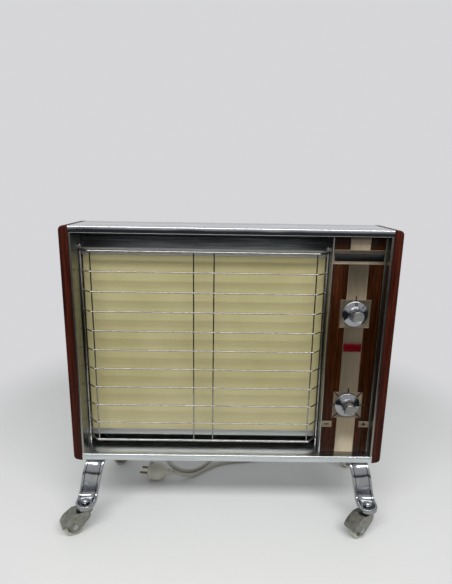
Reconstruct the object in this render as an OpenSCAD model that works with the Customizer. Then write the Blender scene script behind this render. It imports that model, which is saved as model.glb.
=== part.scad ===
// Portable electric radiator: an enamelled radiant panel behind a wire grille, in a polished steel
// casing between two wooden side boards, on four pressed channel legs with hooded swivel casters.
// Millimetres. +Z up, +X to the viewer's right, the front faces -Y. The floor is z = 0.
// Most pieces are drawn in the casing's own frame: y = 0 on the front plane, z = 0 on the underside.

/* [Casing] */
// Width of the metal casing between the side boards
casing_w = 550; // [530:1:620]
// Height of the casing and of the side boards
casing_h = 442; // [436:1:500]
// Depth of the casing, front plane to rear lips
casing_d = 108; // [106:1:112]
// Height of the underside above the floor
floor_gap = 130; // [128:1:150]
// Thickness of the casing's sheet steel
sheet_t = 1; // [0.8:0.1:1.4]
// Height of the front lip of the top cover
top_lip = 12; // [9:0.5:16]
// Height of the front lip of the base tray
base_lip = 13; // [11:0.5:16]
// Visible width of each side frame
side_lip = 4; // [3.5:0.25:6]
// Depth of the polished ledge behind the base tray's front lip
ledge_d = 46; // [44:1:50]
// Width of the lips that carry the back cover
rear_lip = 12; // [11:0.5:16]
// Distance of a side frame's inner wall in front of the rear lips
lining_gap = 20; // [16:1:21]
// Thickness of a side board
board_t = 16.5; // [12:0.5:24]
// Corner radius of a side board's outer top and bottom edges
board_r = 8; // [3:0.5:11]
// Radius on the front outer edge of a side board
board_edge_r = 3; // [1:0.5:6]

/* [Back cover] */
// How far the back cover bulges behind the casing
cover_bulge = 38; // [30:1:42]
// Distance of the bulge's sides inside the casing's sides
cover_inset = 25; // [20:1:45]
// Height of the bulge's underside above the casing's underside
cover_foot = 16; // [14:1:24]
// How far the bulge stays below the top of the casing
cover_drop = 28; // [18:1:40]
// Edge radius of the bulge
cover_r = 10; // [5:0.5:14]
// Louvres across each block
louvre_cols = 5; // [2:1:5]
// Pitch of the louvre columns
louvre_step = 89; // [80:1:90]
// Louvres in a column
louvre_rows = 5; // [2:1:6]
// Length of a louvre slot
louvre_l = 64; // [40:1:70]
// Height of a louvre slot
louvre_slot = 5; // [3:0.5:7]
// Vertical pitch of the louvres
louvre_pitch = 16; // [15:0.5:20]

/* [Radiant panel] */
// Distance from the casing's right side to the left wall of the control box
control_w = 98.8; // [94:0.2:108]
// Front face of the enamelled panel behind the front plane
panel_y = 45; // [44:0.5:48]
// Height of the panel's lower edge of view
panel_z = 42; // [40:0.5:48]
// Distance of the panel's upper edge of view below the casing's top
panel_drop = 54; // [54:0.5:70]
// Thickness of the panel
panel_t = 1.2; // [0.8:0.1:1.6]
// Gap beside the panel
panel_side_gap = 3.6; // [2:0.1:6]
// Depth of the panel's bent side edges
panel_edge = 12; // [6:0.5:16]
// Visible height of the rails over and under the panel
rail_h = 12; // [8:0.5:14]
// How far the panel reaches into a rail
rail_grip = 8; // [4:0.5:9]
// How far the upper deflector slopes back
deflector_run = 21; // [14:0.5:26]
// How far the upper deflector rises
deflector_rise = 18; // [12:0.5:19]
// Front face of the heat reflector in front of the rear lips
reflector_gap = 24; // [22:0.5:26]
// Diameter of a sheathed heating element
element_d = 8; // [6:0.5:10]
// Vertical pitch of the heating elements
element_pitch = 112; // [80:1:118]

/* [Grille] */
// Diameter of the grille wires
wire_d = 2.5; // [2:0.1:3]
// Diameter of the grille's border rails and end rods
border_d = 4; // [3.5:0.1:5]
// Number of horizontal wires between the border rails
wire_n = 9; // [7:1:11]
// Height of the lower border rail
grille_z = 31; // [26:0.5:36]
// Distance of the upper border rail below the casing's top
grille_drop = 45; // [43:0.5:60]
// Centre of the front wires behind the front plane
wire_y = 22; // [18:0.5:24]
// How far the wires' ends turn back to the end rods
wire_set = 17.5; // [15:0.5:19]
// Radius of the bend at a wire's end
wire_bend = 6; // [4:0.5:9]
// Distance of the middle upright wires from the grille's middle
upright_x = 18.1; // [10:0.1:40]
// Distance of the outer upright wires from the bends
upright_inset = 4; // [3:0.5:12]

/* [Control panel] */
// Face of the wood-grain fascia behind the front plane
fascia_y = 17.5; // [16:0.5:20]
// Thickness of the fascia
fascia_t = 2; // [1.5:0.1:3]
// Recess between the fascia and the right side frame
fascia_recess = 2.4; // [1:0.1:4]
// Knob line to the right of the fascia's middle
axis_shift = 0.7; // [0:0.1:2]
// Thickness of the satin trim
trim_t = 0.6; // [0.4:0.1:1]
// Width of the satin centre band
band_w = 35; // [28:0.5:44]
// Width of a knob plate
plate_w = 54.5; // [52:0.5:60]
// Height of a knob plate
plate_h = 52.5; // [52:0.5:60]
// Width of the raised border round a knob plate
plate_rim = 1.2; // [0.8:0.1:1.4]
// Distance of the badge band's middle below the casing's top
badge_drop = 48.8; // [38:0.2:66]
// Height of the badge band
badge_h = 25.5; // [18:0.5:30]
// Height of the bare black bar in the badge band
badge_bar_h = 14; // [10:0.5:16]
// Distance of the switch knob's axis below the casing's top
power_drop = 151.2; // [138:0.2:165]
// Height of the thermostat knob's axis
thermo_z = 112.5; // [108:0.5:130]
// Distance of the indicator lens below the casing's top
lens_drop = 214.6; // [212:0.2:240]
// Width of the indicator lens
lens_w = 31.5; // [24:0.5:34]
// Height of the indicator lens face
lens_h = 15.3; // [12:0.1:18]
// Height of the two small tags
tag_z = 72.5; // [60:0.5:74]
// Width of a tag
tag_w = 19; // [12:0.5:19]

/* [Knobs] */
// Diameter of a knob's skirt
skirt_d = 46.6; // [38:0.2:48]
// Diameter of a knob's grip at its root
grip_d = 23; // [18:0.5:26]
// Height of a knob above the trim
knob_h = 24; // [22:0.5:28]
// Grooves round a knob's grip
grip_n = 16; // [10:1:20]
// Diameter of the knob shafts
shaft_d = 6; // [5:0.5:6.5]
// Radial clearance of shafts, stems and axles in their bores
fit = 0.05; // [0.02:0.01:0.08]
// Gap between a knob and the trim behind it
knob_gap = 0.5; // [0.3:0.1:0.8]

/* [Legs] */
// Distance of a rear caster stem behind the rear lips
rear_reach = 60; // [58:1:69]
// Distance of a front caster stem in front of the front plane
pad_reach = 23; // [21:0.5:26]
// Distance of a caster stem inside the casing's side
stem_inset = 8; // [8:0.5:17]
// How far a leg leans outward between its foot and its pad
leg_lean = 14.5; // [0:0.5:16]
// Width of a leg
leg_w = 36; // [32:1:36]
// Sheet thickness of a leg
leg_t = 2; // [1.5:0.1:2.5]
// Depth of a leg's flanges
leg_flange = 8; // [6:0.5:9]
// Drop from the casing's underside to the top of the caster pad
leg_drop = 72; // [68:0.5:74]
// Outer radius of the upper bend
leg_bend = 35; // [30:0.5:37]
// Radius of the lower bend
leg_fillet = 10; // [6:0.5:10]
// Length of the flat foot under the casing
foot_l = 35; // [33:0.5:36]

/* [Casters] */
// Diameter of a caster wheel
wheel_d = 38; // [34:0.5:39]
// Width of a wheel's tread
wheel_w = 18; // [14:0.5:19]
// Distance of the axle behind the stem
trail = 23; // [21:0.5:24]
// Outer width of a fork
fork_w = 26; // [25.5:0.5:28]
// Sheet thickness of a fork
fork_t = 1.5; // [1.2:0.1:1.7]
// Gap between a wheel and the hood of its fork
hood_gap = 3.5; // [2:0.1:4]
// Height of a fork's top plate over the floor
fork_h = 46; // [45:0.25:47]
// Diameter of a caster stem
stem_d = 8; // [6:0.5:9]
// Diameter of a wheel axle
axle_d = 6; // [4:0.5:7]
// Direction in which the front casters trail, degrees from +X
trail_angle = 212; // [0:1:359]
// Gap between a hub and the fork cheeks, and above and below a fork's plate
side_play = 0.3; // [0.2:0.05:0.5]

/* [Mains lead] */
// Diameter of the flex
flex_d = 7.5; // [6:0.1:7.8]
// Height of the flex outlet above the casing's underside
outlet_z = 60; // [58:1:62]
// Diameter of the plug's body
plug_d = 39; // [36:0.5:40]
// Diameter of a plug pin
pin_d = 4.8; // [4:0.1:4.8]
// Length of a plug pin
pin_l = 19; // [17:0.5:19]
// Distance between the plug pins
pin_gap = 19; // [19:0.1:19.5]
// Turns that the coil winds inwards on the floor
coil_turns = 1.5; // [1:0.5:1.5]
// Mean radius of the coil's first turn
coil_r = 46; // [45:0.5:46]
// Width of the tie round the coil
tie_w = 9; // [6:0.5:12]
// Thickness of the tie
tie_t = 0.8; // [0.6:0.1:1]

/* [Hidden] */
$fn = 48;

// Colours
teak = "#6b3326"; polished = "#c9cbcc"; satin = "#b9b2a6"; grain = "#4a2416"; enamel = "#e9e3bf";
ink = "#141414"; red_lens = "#c81e28"; dull = "#8d8f90"; flex_white = "#e6e3d6"; nylon = "#dcdad0";
aluminium = "#b4b6b8"; ceramic = "#e4e0d4"; grey_paint = "#77797a"; brass = "#c2a25a";

// Half width, and the depth of the middle of the wheel base in the casing's frame
half = casing_w / 2;
wheel_base = pad_reach + casing_d + rear_reach;
mid_y = wheel_base / 2 - pad_reach;
// Inner faces of the side frames, and the left wall of the control box
lining_x = half - side_lip;
box_x = half - control_w;
seat = 0.2;          // seating gap between pieces that slide or hook together
top_z = casing_h - top_lip;
wall_top = casing_h - sheet_t;
lining_d = casing_d - lining_gap;

// Panel and rails
panel_x0 = -lining_x + panel_side_gap;
panel_x1 = box_x - panel_side_gap;
slot_w = panel_t + 2 * seat;
rail_y = panel_y - seat - sheet_t;
panel_top = casing_h - panel_drop;
panel_h = panel_top - panel_z;
reflector_y = casing_d - reflector_gap;
rail_depth = slot_w + 2 * sheet_t;
deflector_y = rail_y + rail_depth + seat;

// Grille: end rods stand beside the side frame and beside the control box
rod_y = wire_y + wire_set;
rod_x0 = -lining_x + border_d / 2 + seat / 2;
rod_x1 = box_x - border_d / 2 - seat / 2;
bend_x0 = rod_x0 + wire_set;
bend_x1 = rod_x1 - wire_set;
grille_top = casing_h - grille_drop;
grille_h = grille_top - grille_z;
wire_pitch = grille_h / (wire_n + 1);
grille_mid = (bend_x0 + bend_x1) / 2;
clip_h = 6;
clip_z = grille_top + border_d / 2 + 1;
rod_top = clip_z + clip_h + 2;
weld = 0.3;          // how far crossed wires sink into each other where they are spot welded

// Control panel
hem = 2 * sheet_t;
fascia_x0 = box_x + hem + seat;
fascia_x1 = lining_x - fascia_recess;
fascia_top = top_z - 2;
fascia_foot = base_lip + seat;
axis_x = (fascia_x0 + fascia_x1) / 2 + axis_shift;
badge_z = casing_h - badge_drop;
power_z = casing_h - power_drop;
lens_z = casing_h - lens_drop;
box_y = fascia_y + fascia_t;
trim_y = fascia_y - trim_t;
nut_af = 13; nut_h = fascia_t - 0.2;
bush_d = shaft_d + 3.5;
nut_hole = nut_af / cos(30) + 1;
badge_y = trim_y - trim_t;
window_w = lens_w - 4; window_h = lens_h - 3;
switch_size = 38; switch_d = 26;
terminal_w = 48; terminal_gap = 28;

// Legs and casters
pad_top = floor_gap - leg_drop;
stem_x = half - stem_inset;
foot_x = stem_x - leg_lean;
arc_y = leg_bend - 5;
face_y = arc_y - leg_bend;
foot_holes = [arc_y + 13, arc_y + 28];
foot_screw_d = 5;
wheel_r = wheel_d / 2;
hood_r = wheel_r + hood_gap + fork_t;
pad_under = pad_top - leg_t;
washer_d = 15; washer_h = 1.2;

// Back cover
cover_w = casing_w - 2 * cover_inset;
cover_z0 = cover_foot;
cover_z1 = casing_h - cover_drop;
cover_back = casing_d + cover_bulge;
flange_z0 = 4; flange_z1 = casing_h - 4;
flange_x = half - 3;
cover_screw_d = 3;
outer_screw_x = half - 75;
louvre_foot = 84;    // lower block of louvres above the bulge's underside
louvre_head = 34;    // upper block below the bulge's top
cover_screw_at = [for (x = [-outer_screw_x, 0, outer_screw_x]) for (z = [8, casing_h - 8]) [x, z],
  [-half + 6.5, casing_h / 2], [half - 6.5, casing_h / 2]];

// Mains lead
flex_r = flex_d / 2;
gland_x = half - 75;
gland_l = 26;
lead_z = flex_r;
outlet_y = cover_back + gland_l - mid_y;
coil_at = [40, 176];
turn_step = flex_d + 0.8;
coil_climb = 0.25;   // part of a turn in which the coil climbs onto its upper layer
coil_z = lead_z + tie_t + 0.1;
plug_tail = [-118, 48];
plug_angle = 174;
plug_l = 54;
plug_z = plug_d / 2;

// helpers

module in_casing() { translate([0, -mid_y, floor_gap]) children(); }

// Sheet bent along a path: one strip for each leg of the path, rounded at each bend
module fold(path, t) {
  for (i = [0 : len(path) - 2]) {
    d = path[i + 1] - path[i];
    translate(path[i]) rotate(atan2(d[1], d[0])) translate([0, -t / 2]) square([norm(d), t]);
  }
  for (i = [1 : len(path) - 2]) translate(path[i]) circle(d = t);
}

// Extrude a YZ section along X from x0 to x1
module along_x(x0, x1) {
  translate([x0, 0, 0]) rotate([90, 0, 90]) linear_extrude(x1 - x0) children();
}

// Extrude an XZ section along Y from y0 to y1
module along_y(y0, y1) {
  translate([0, y1, 0]) rotate([90, 0, 0]) linear_extrude(y1 - y0) children();
}

module cyl_x(x0, x1, d) { translate([x0, 0, 0]) rotate([0, 90, 0]) cylinder(d = d, h = x1 - x0); }
module cyl_y(y0, y1, d) { translate([0, y1, 0]) rotate([90, 0, 0]) cylinder(d = d, h = y1 - y0); }

module box(x0, x1, y0, y1, z0, z1) {
  translate([x0, y0, z0]) cube([x1 - x0, y1 - y0, z1 - z0]);
}

module round_rect(w, h, r) {
  square([w - 2 * r, h], center = true);
  square([w, h - 2 * r], center = true);
  for (i = [-1, 1]) for (j = [-1, 1]) translate([i * (w / 2 - r), j * (h / 2 - r)]) circle(r);
}

module mirror_x(on) { if (on) mirror([1, 0, 0]) children(); else children(); }

// casing

module side_board() {
  in_casing() intersection() {
    along_y(0, casing_d) union() {
      translate([half, 0]) square([board_t - board_r, casing_h]);
      translate([half, board_r]) square([board_t, casing_h - 2 * board_r]);
      for (z = [board_r, casing_h - board_r])
        translate([half + board_t - board_r, z]) circle(board_r);
    }
    linear_extrude(casing_h) union() {
      translate([half, 0]) square([board_t - board_edge_r, casing_d]);
      translate([half, board_edge_r]) square([board_t, casing_d - board_edge_r]);
      translate([half + board_t - board_edge_r, board_edge_r]) circle(board_edge_r);
    }
  }
}
module side_board_left() { color(teak) mirror_x(true) side_board(); }
module side_board_right() { color(teak) side_board(); }

module cover_screw_holes(y0, y1) {
  for (p = cover_screw_at) translate([p[0], 0, p[1]]) cyl_y(y0, y1, cover_screw_d + 2 * fit);
}

module top_cover() {
  h = sheet_t / 2;
  color(polished) in_casing() difference() {
    along_x(-half, half)
      fold([[8, top_z + h], [h, top_z + h], [h, casing_h - h], [casing_d - h, casing_h - h],
            [casing_d - h, casing_h - rear_lip]], sheet_t);
    cover_screw_holes(casing_d - 3, casing_d + 1);
  }
}

module base_tray() {
  h = sheet_t / 2;
  color(polished) in_casing() difference() {
    union() {
      along_x(-half, half)
        fold([[casing_d - h, rear_lip], [casing_d - h, h], [h, h], [h, base_lip - h],
              [ledge_d + h, base_lip - h], [ledge_d + h, base_lip - 5]], sheet_t);
      for (s = [-1, 1]) translate([s * (half - h) - h, h, h])
        cube([sheet_t, casing_d - sheet_t, base_lip - sheet_t]);
      for (s = [-1, 1]) for (y = foot_holes) for (m = [y, 2 * mid_y - y])
        translate([s * foot_x, m, 0]) cylinder(d = foot_screw_d + 2.6, h = 5);
    }
    for (s = [-1, 1]) for (y = foot_holes) for (m = [y, 2 * mid_y - y])
      translate([s * foot_x, m, -1]) cylinder(d = foot_screw_d + 2 * fit, h = 8);
    for (x = [rod_x0, rod_x1])
      translate([x, rod_y, base_lip - 2]) cylinder(d = border_d + 2 * fit, h = 4);
    cover_screw_holes(casing_d - 3, casing_d + 1);
  }
}

module side_frame() {
  h = sheet_t / 2;
  color(polished) in_casing() difference() {
    translate([0, 0, base_lip]) linear_extrude(top_z - base_lip)
      fold([[lining_x + h, lining_d], [lining_x + h, h], [half - h, h], [half - h, casing_d - h],
            [half - rear_lip, casing_d - h]], sheet_t);
    cover_screw_holes(casing_d - 3, casing_d + 1);
  }
}
module side_frame_left() { mirror_x(true) side_frame(); }
module side_frame_right() { side_frame(); }

// Pan with all its edges rounded, open to the casing: spheres and cylinders on a box
module pan(grow) {
  w = cover_w / 2 - grow; r = cover_r - grow;
  z0 = cover_z0 + grow; z1 = cover_z1 - grow; yb = cover_back - grow;
  y0 = casing_d - 1;
  for (x = [-w + r, w - r]) for (z = [z0 + r, z1 - r]) translate([x, yb - r, z]) sphere(r);
  for (z = [z0 + r, z1 - r]) translate([0, yb - r, z]) cyl_x(-w + r, w - r, 2 * r);
  for (x = [-w + r, w - r]) {
    translate([x, yb - r, z0 + r]) cylinder(r = r, h = z1 - z0 - 2 * r);
    for (z = [z0 + r, z1 - r]) translate([x, 0, z]) cyl_y(y0, yb - r, 2 * r);
  }
  box(-w + r, w - r, y0, yb, z0 + r, z1 - r);
  box(-w + r, w - r, y0, yb - r, z0, z1);
  box(-w, w, y0, yb - r, z0 + r, z1 - r);
}

louvre_at = [for (i = [0 : louvre_cols - 1]) for (b = [0, 1]) for (j = [0 : louvre_rows - 1])
  [(i - (louvre_cols - 1) / 2) * louvre_step,
   (b == 0 ? cover_z0 + louvre_foot : cover_z1 - louvre_head - (louvre_rows - 1) * louvre_pitch)
   + j * louvre_pitch]];

module back_cover() {
  color(grey_paint) in_casing() difference() {
    union() {
      difference() {
        union() {
          along_y(casing_d, casing_d + sheet_t) translate([0, (flange_z0 + flange_z1) / 2])
            round_rect(2 * flange_x, flange_z1 - flange_z0, 6);
          intersection() {
            pan(0);
            box(-half, half, casing_d, cover_back + 1, 0, casing_h);
          }
        }
        pan(sheet_t);
        for (p = louvre_at) translate([p[0] - louvre_l / 2, cover_back - 3, p[1]])
          cube([louvre_l, 6, louvre_slot]);
        translate([gland_x, 0, outlet_z]) cyl_y(cover_back - 4, cover_back + 1, flex_d + 3 + 2 * fit);
      }
      for (p = louvre_at) translate([p[0], cover_back, p[1]]) louvre_hood();
    }
    cover_screw_holes(casing_d - 1, casing_d + 3);
  }
}

// Pressed hood over one louvre slot: a quarter-round shell with closed ends, open downwards
module louvre_hood() {
  intersection() {
    difference() {
      cyl_x(-louvre_l / 2 - sheet_t, louvre_l / 2 + sheet_t, 2 * (louvre_slot + sheet_t));
      cyl_x(-louvre_l / 2, louvre_l / 2, 2 * louvre_slot);
    }
    box(-louvre_l, louvre_l, 0, louvre_slot + sheet_t + 1, 0, louvre_slot + sheet_t + 1);
  }
}

module cover_screws() {
  color(dull) in_casing() for (p = cover_screw_at) translate([p[0], casing_d + sheet_t, p[1]])
    rotate([90, 0, 0]) {
      cylinder(d = cover_screw_d, h = 6);
      intersection() {
        translate([0, 0, -2]) cylinder(d = 6.4, h = 2);
        translate([0, 0, 2.2]) sphere(4.2);
      }
    }
}

// radiant panel

module radiant_panel() {
  t = panel_t; r = 3;
  w = panel_x1 - panel_x0; cx = (panel_x0 + panel_x1) / 2;
  color(enamel) in_casing() {
    translate([cx, panel_y + r, panel_z + 3]) linear_extrude(panel_h - 6) difference() {
      union() {
        translate([-w / 2 + r, -r]) square([w - 2 * r, 2 * r]);
        translate([-w / 2, 0]) square([w, panel_edge - r]);
        for (s = [-1, 1]) translate([s * (w / 2 - r), 0]) circle(r);
      }
      translate([-w / 2 + r, -r + t]) square([w - 2 * r, panel_edge + r]);
      translate([-w / 2 + t, 0]) square([w - 2 * t, panel_edge + r]);
      for (s = [-1, 1]) translate([s * (w / 2 - r), 0]) circle(r - t);
    }
    box(panel_x0 + r + 0.2, panel_x1 - r - 0.2, panel_y, panel_y + t,
        panel_z - rail_grip, panel_top + rail_grip);
  }
}

// J-shaped rail that grips one edge of the panel, for the lower edge; s = -1 turns it over
module panel_rail(z, s) {
  h = sheet_t / 2;
  color(satin) in_casing() translate([0, rail_y, z])
    along_x(-lining_x + seat, box_x - seat)
      fold([[h, 0], [h, -s * (rail_h - h)], [rail_depth - h, -s * (rail_h - h)],
            [rail_depth - h, 0]], sheet_t);
}
module panel_rail_bottom() { panel_rail(panel_z, 1); }
module panel_rail_top() { panel_rail(panel_top, -1); }

module deflector() {
  h = sheet_t / 2;
  z = panel_top + rail_h;
  color(dull) in_casing() translate([0, deflector_y, 0])
    along_x(-lining_x + seat, box_x - seat)
      fold([[h, z - 9], [h, z], [h + deflector_run, z + deflector_rise],
            [h + deflector_run + 4, z + deflector_rise]], sheet_t);
}

// grille

// One grille wire in the XY plane: straight front run, a true bend and a slanted end to each rod.
// The bend is a hair thicker than the wire, as a cold bend is, and the straight runs end inside it.
module grille_wire(d) {
  run = wire_set / cos(45);
  tang = wire_bend * tan(22.5);
  for (s = [-1, 1]) {
    bx = s < 0 ? bend_x0 : bend_x1;
    translate([bx - s * tang, wire_bend, 0]) rotate([0, 0, s < 0 ? 225 : 270])
      rotate_extrude(angle = 45) translate([wire_bend, 0]) circle(d = d + 0.1);
    translate([bx, 0, 0]) rotate([0, 0, s < 0 ? 135 : 45]) translate([tang, 0, 0])
      cyl_x(-0.5, run - tang, d);
  }
  cyl_x(bend_x0 + tang - 0.5, bend_x1 - tang + 0.5, d);
}

module grille() {
  color(polished) in_casing() {
    for (i = [1 : wire_n]) translate([0, wire_y, grille_z + i * wire_pitch]) grille_wire(wire_d);
    for (z = [grille_z, grille_top]) translate([0, wire_y, z]) grille_wire(border_d);
    for (x = [rod_x0, rod_x1])
      translate([x, rod_y, base_lip - 4]) cylinder(d = border_d, h = rod_top - base_lip + 4);
    for (x = [bend_x0 + upright_inset, grille_mid - upright_x, grille_mid + upright_x,
              bend_x1 - upright_inset])
      translate([x, wire_y + wire_d - weld, grille_z]) cylinder(d = wire_d, h = grille_h);
  }
}

// A saddle on the lining and one on the control box, each with a bore for an end rod
module grille_clips() {
  color(dull) in_casing() for (s = [0, 1]) {
    x = s == 0 ? rod_x0 : rod_x1;
    wall = s == 0 ? -lining_x : box_x;
    k = s == 0 ? 1 : -1;
    translate([wall, rod_y, clip_z]) mirror([s, 0, 0]) difference() {
      union() {
        translate([border_d / 2 + seat / 2, 0, 0]) cylinder(d = border_d + 3, h = clip_h);
        translate([0, -border_d / 2 - 1.5, 0]) cube([border_d / 2, border_d + 3, clip_h]);
        translate([0, -12, 0]) cube([1.2, 10, clip_h]);
      }
      translate([border_d / 2 + seat / 2, 0, -1]) cylinder(d = border_d + 2 * fit, h = clip_h + 2);
      translate([-10, -20, -1]) cube([10, 40, clip_h + 2]);
    }
  }
}

// heating

module heat_reflector() {
  h = sheet_t / 2;
  color(aluminium) in_casing() translate([0, 0, base_lip + 8])
    linear_extrude(top_z - base_lip - 20)
      fold([[-lining_x + h + seat, reflector_y - 14], [-lining_x + h + seat, reflector_y + h],
            [box_x - h - seat, reflector_y + h], [box_x - h - seat, reflector_y - 14]], sheet_t);
}

element_mid = panel_z + panel_h / 2;
element_y = (panel_y + reflector_y) / 2 + 2;
bracket_x = [panel_x0 + 36, panel_x1 - 36];

module heating_elements() {
  color("#5f5b58") in_casing() for (i = [-1, 0, 1])
    translate([0, element_y, element_mid + i * element_pitch]) {
      cyl_x(bracket_x[0] - 14, bracket_x[1] + 14, element_d);
      cyl_x(bracket_x[0] - 22, bracket_x[1] + 22, element_d / 2);
    }
}

module element_brackets() {
  color(dull) in_casing() for (x = bracket_x) difference() {
    union() {
      box(x - 0.75, x + 0.75, element_y - 9, reflector_y, element_mid - element_pitch - 16,
          element_mid + element_pitch + 16);
      box(x - 0.75, x + 10, reflector_y - 1.5, reflector_y, element_mid - element_pitch - 16,
          element_mid + element_pitch + 16);
    }
    for (i = [-1, 0, 1]) translate([0, element_y, element_mid + i * element_pitch])
      cyl_x(x - 2, x + 2, element_d + 2 * fit);
  }
}

module thermal_cutout() {
  color(ceramic) in_casing()
    translate([panel_x1 - 70, reflector_y + sheet_t, element_mid + element_pitch + 20]) {
      cyl_y(0, 6, 16);
      for (s = [-1, 1]) box(s * 4 - 2, s * 4 + 2, 6, 11, -0.5, 0.5);
    }
}

// control panel

module control_box() {
  h = sheet_t / 2;
  right = lining_x - seat;
  color(polished) in_casing() difference() {
    union() {
      translate([0, 0, base_lip]) linear_extrude(wall_top - base_lip) {
        fold([[box_x + h, lining_d + 10], [box_x + h, fascia_y - 2 + h],
              [box_x + h + sheet_t, fascia_y - 2 + h], [box_x + h + sheet_t, box_y + h]],
             sheet_t);
      }
      translate([0, 0, base_lip]) linear_extrude(fascia_top - base_lip)
        fold([[box_x + h + sheet_t, box_y + h], [right - h, box_y + h], [right - h, box_y + 14]],
             sheet_t);
    }
    for (z = [power_z, thermo_z]) translate([axis_x, 0, z])
      cyl_y(box_y - 1, box_y + 2, bush_d + 2 * fit);
    box(axis_x - window_w / 2 - 0.1, axis_x + window_w / 2 + 0.1, box_y - 0.1, box_y + 2,
        lens_z - window_h / 2 - 0.1, lens_z + window_h / 2 + 0.1);
  }
}

module fascia() {
  color(grain) in_casing() difference() {
    box(fascia_x0, fascia_x1, fascia_y, box_y, fascia_foot, fascia_top);
    for (z = [power_z, thermo_z]) translate([axis_x, 0, z])
      cyl_y(fascia_y - 1, box_y + 1, nut_hole);
    box(axis_x - window_w / 2 - 0.1, axis_x + window_w / 2 + 0.1, fascia_y - 1, box_y + 1,
        lens_z - window_h / 2 - 0.1, lens_z + window_h / 2 + 0.1);
  }
}

module knob_plate(z) {
  box(axis_x - plate_w / 2, axis_x + plate_w / 2, trim_y, fascia_y, z - plate_h / 2, z + plate_h / 2);
  difference() {
    box(axis_x - plate_w / 2, axis_x + plate_w / 2, trim_y - 0.4, fascia_y, z - plate_h / 2,
        z + plate_h / 2);
    box(axis_x - plate_w / 2 + plate_rim, axis_x + plate_w / 2 - plate_rim, trim_y - 1, fascia_y + 1,
        z - plate_h / 2 + plate_rim, z + plate_h / 2 - plate_rim);
  }
}

module fascia_trim() {
  color(satin) in_casing() difference() {
    union() {
      box(axis_x - band_w / 2, axis_x + band_w / 2, trim_y, fascia_y, fascia_foot, fascia_top);
      for (s = [-1, 1]) translate([axis_x + s * (band_w / 2 - 0.6) - 0.6, trim_y - 0.3, fascia_foot])
        cube([1.2, 0.4, fascia_top - fascia_foot]);
      knob_plate(power_z);
      knob_plate(thermo_z);
      box(fascia_x0, fascia_x1, trim_y, fascia_y, badge_z - badge_h / 2, badge_z + badge_h / 2);
      for (s = [-1, 1]) box(fascia_x0, fascia_x1, trim_y - 0.3, fascia_y,
        badge_z + s * (badge_h / 2 - 0.6) - 0.6, badge_z + s * (badge_h / 2 - 0.6) + 0.6);
    }
    for (z = [power_z, thermo_z]) translate([axis_x, 0, z])
      cyl_y(fascia_y - 2, box_y + 1, nut_hole);
    for (z = [power_z, thermo_z]) translate([axis_x, 0, z])
      cyl_y(trim_y - 2, trim_y, skirt_d + 2);
    box(axis_x - window_w / 2 - 0.1, axis_x + window_w / 2 + 0.1, fascia_y - 2, box_y + 1,
        lens_z - window_h / 2 - 0.1, lens_z + window_h / 2 + 0.1);
    box(axis_x - lens_w / 2 - 0.2, axis_x + lens_w / 2 + 0.2, trim_y - 1, trim_y,
        lens_z - lens_h / 2 - 0.2, lens_z + lens_h / 2 + 0.2);
    box(fascia_x0 + 2, fascia_x1 - 2, trim_y - 1, trim_y, badge_z - badge_bar_h / 2,
        badge_z + badge_bar_h / 2);
  }
}

module badge_bar() {
  color(ink) in_casing()
    along_y(badge_y, trim_y) translate([(fascia_x0 + fascia_x1) / 2, badge_z])
      round_rect(fascia_x1 - fascia_x0 - 4, badge_bar_h, 1);
}

module fascia_tags() {
  color(satin) in_casing() for (x = [fascia_x0 + 0.4, fascia_x1 - 0.4 - tag_w]) difference() {
    box(x, x + tag_w, trim_y, fascia_y, tag_z - 6.2, tag_z + 6.2);
    box(x + 0.9, x + tag_w - 0.9, trim_y - 1, trim_y + 0.25, tag_z - 5.3, tag_z + 5.3);
  }
}

module indicator_lens() {
  color(red_lens) in_casing() difference() {
    union() {
      along_y(trim_y - 2, trim_y) translate([axis_x, lens_z]) round_rect(lens_w, lens_h, 1.5);
      box(axis_x - window_w / 2, axis_x + window_w / 2, trim_y - 1, box_y + 3,
          lens_z - window_h / 2, lens_z + window_h / 2);
    }
    translate([axis_x, 0, lens_z]) cyl_y(trim_y + 0.5, box_y + 4, 9);
  }
}

module neon_lamp() {
  color(ceramic) in_casing() translate([axis_x, 0, lens_z]) {
    cyl_y(trim_y + 2, box_y + 3, 8);
    cyl_y(box_y + 3, box_y + 24, 11);
  }
}

// Rotary switch or thermostat body: block, threaded bush through the panel, and its nut
module control_body(z, w, d) {
  in_casing() translate([axis_x, 0, z]) {
    difference() {
      union() {
        along_y(box_y + sheet_t, box_y + sheet_t + d) round_rect(w, w, 3);
        cyl_y(fascia_y + 0.1, box_y + sheet_t + 1, bush_d);
      }
      cyl_y(fascia_y - 1, box_y + 12, shaft_d + 2 * fit);
      for (x = [-w / 4, 0, w / 4]) translate([x, 0, -w / 2]) cyl_y(box_y + d - 3, box_y + d + 9, 4);
    }
    difference() {
      translate([0, box_y, 0]) rotate([90, 0, 0]) cylinder(d = nut_af / cos(30), h = nut_h, $fn = 6);
      cyl_y(fascia_y - 1, box_y + 1, bush_d + 2 * fit);
    }
  }
}
module power_switch() { color(ink) control_body(power_z, switch_size, switch_d); }
module thermostat() { color(ceramic) control_body(thermo_z, switch_size - 4, switch_d + 4); }

module knob_shaft(z) {
  color(brass) in_casing() translate([axis_x, 0, z]) cyl_y(trim_y - knob_h + 6, box_y + 11.8, shaft_d);
}
module power_shaft() { knob_shaft(power_z); }
module thermostat_shaft() { knob_shaft(thermo_z); }

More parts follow.
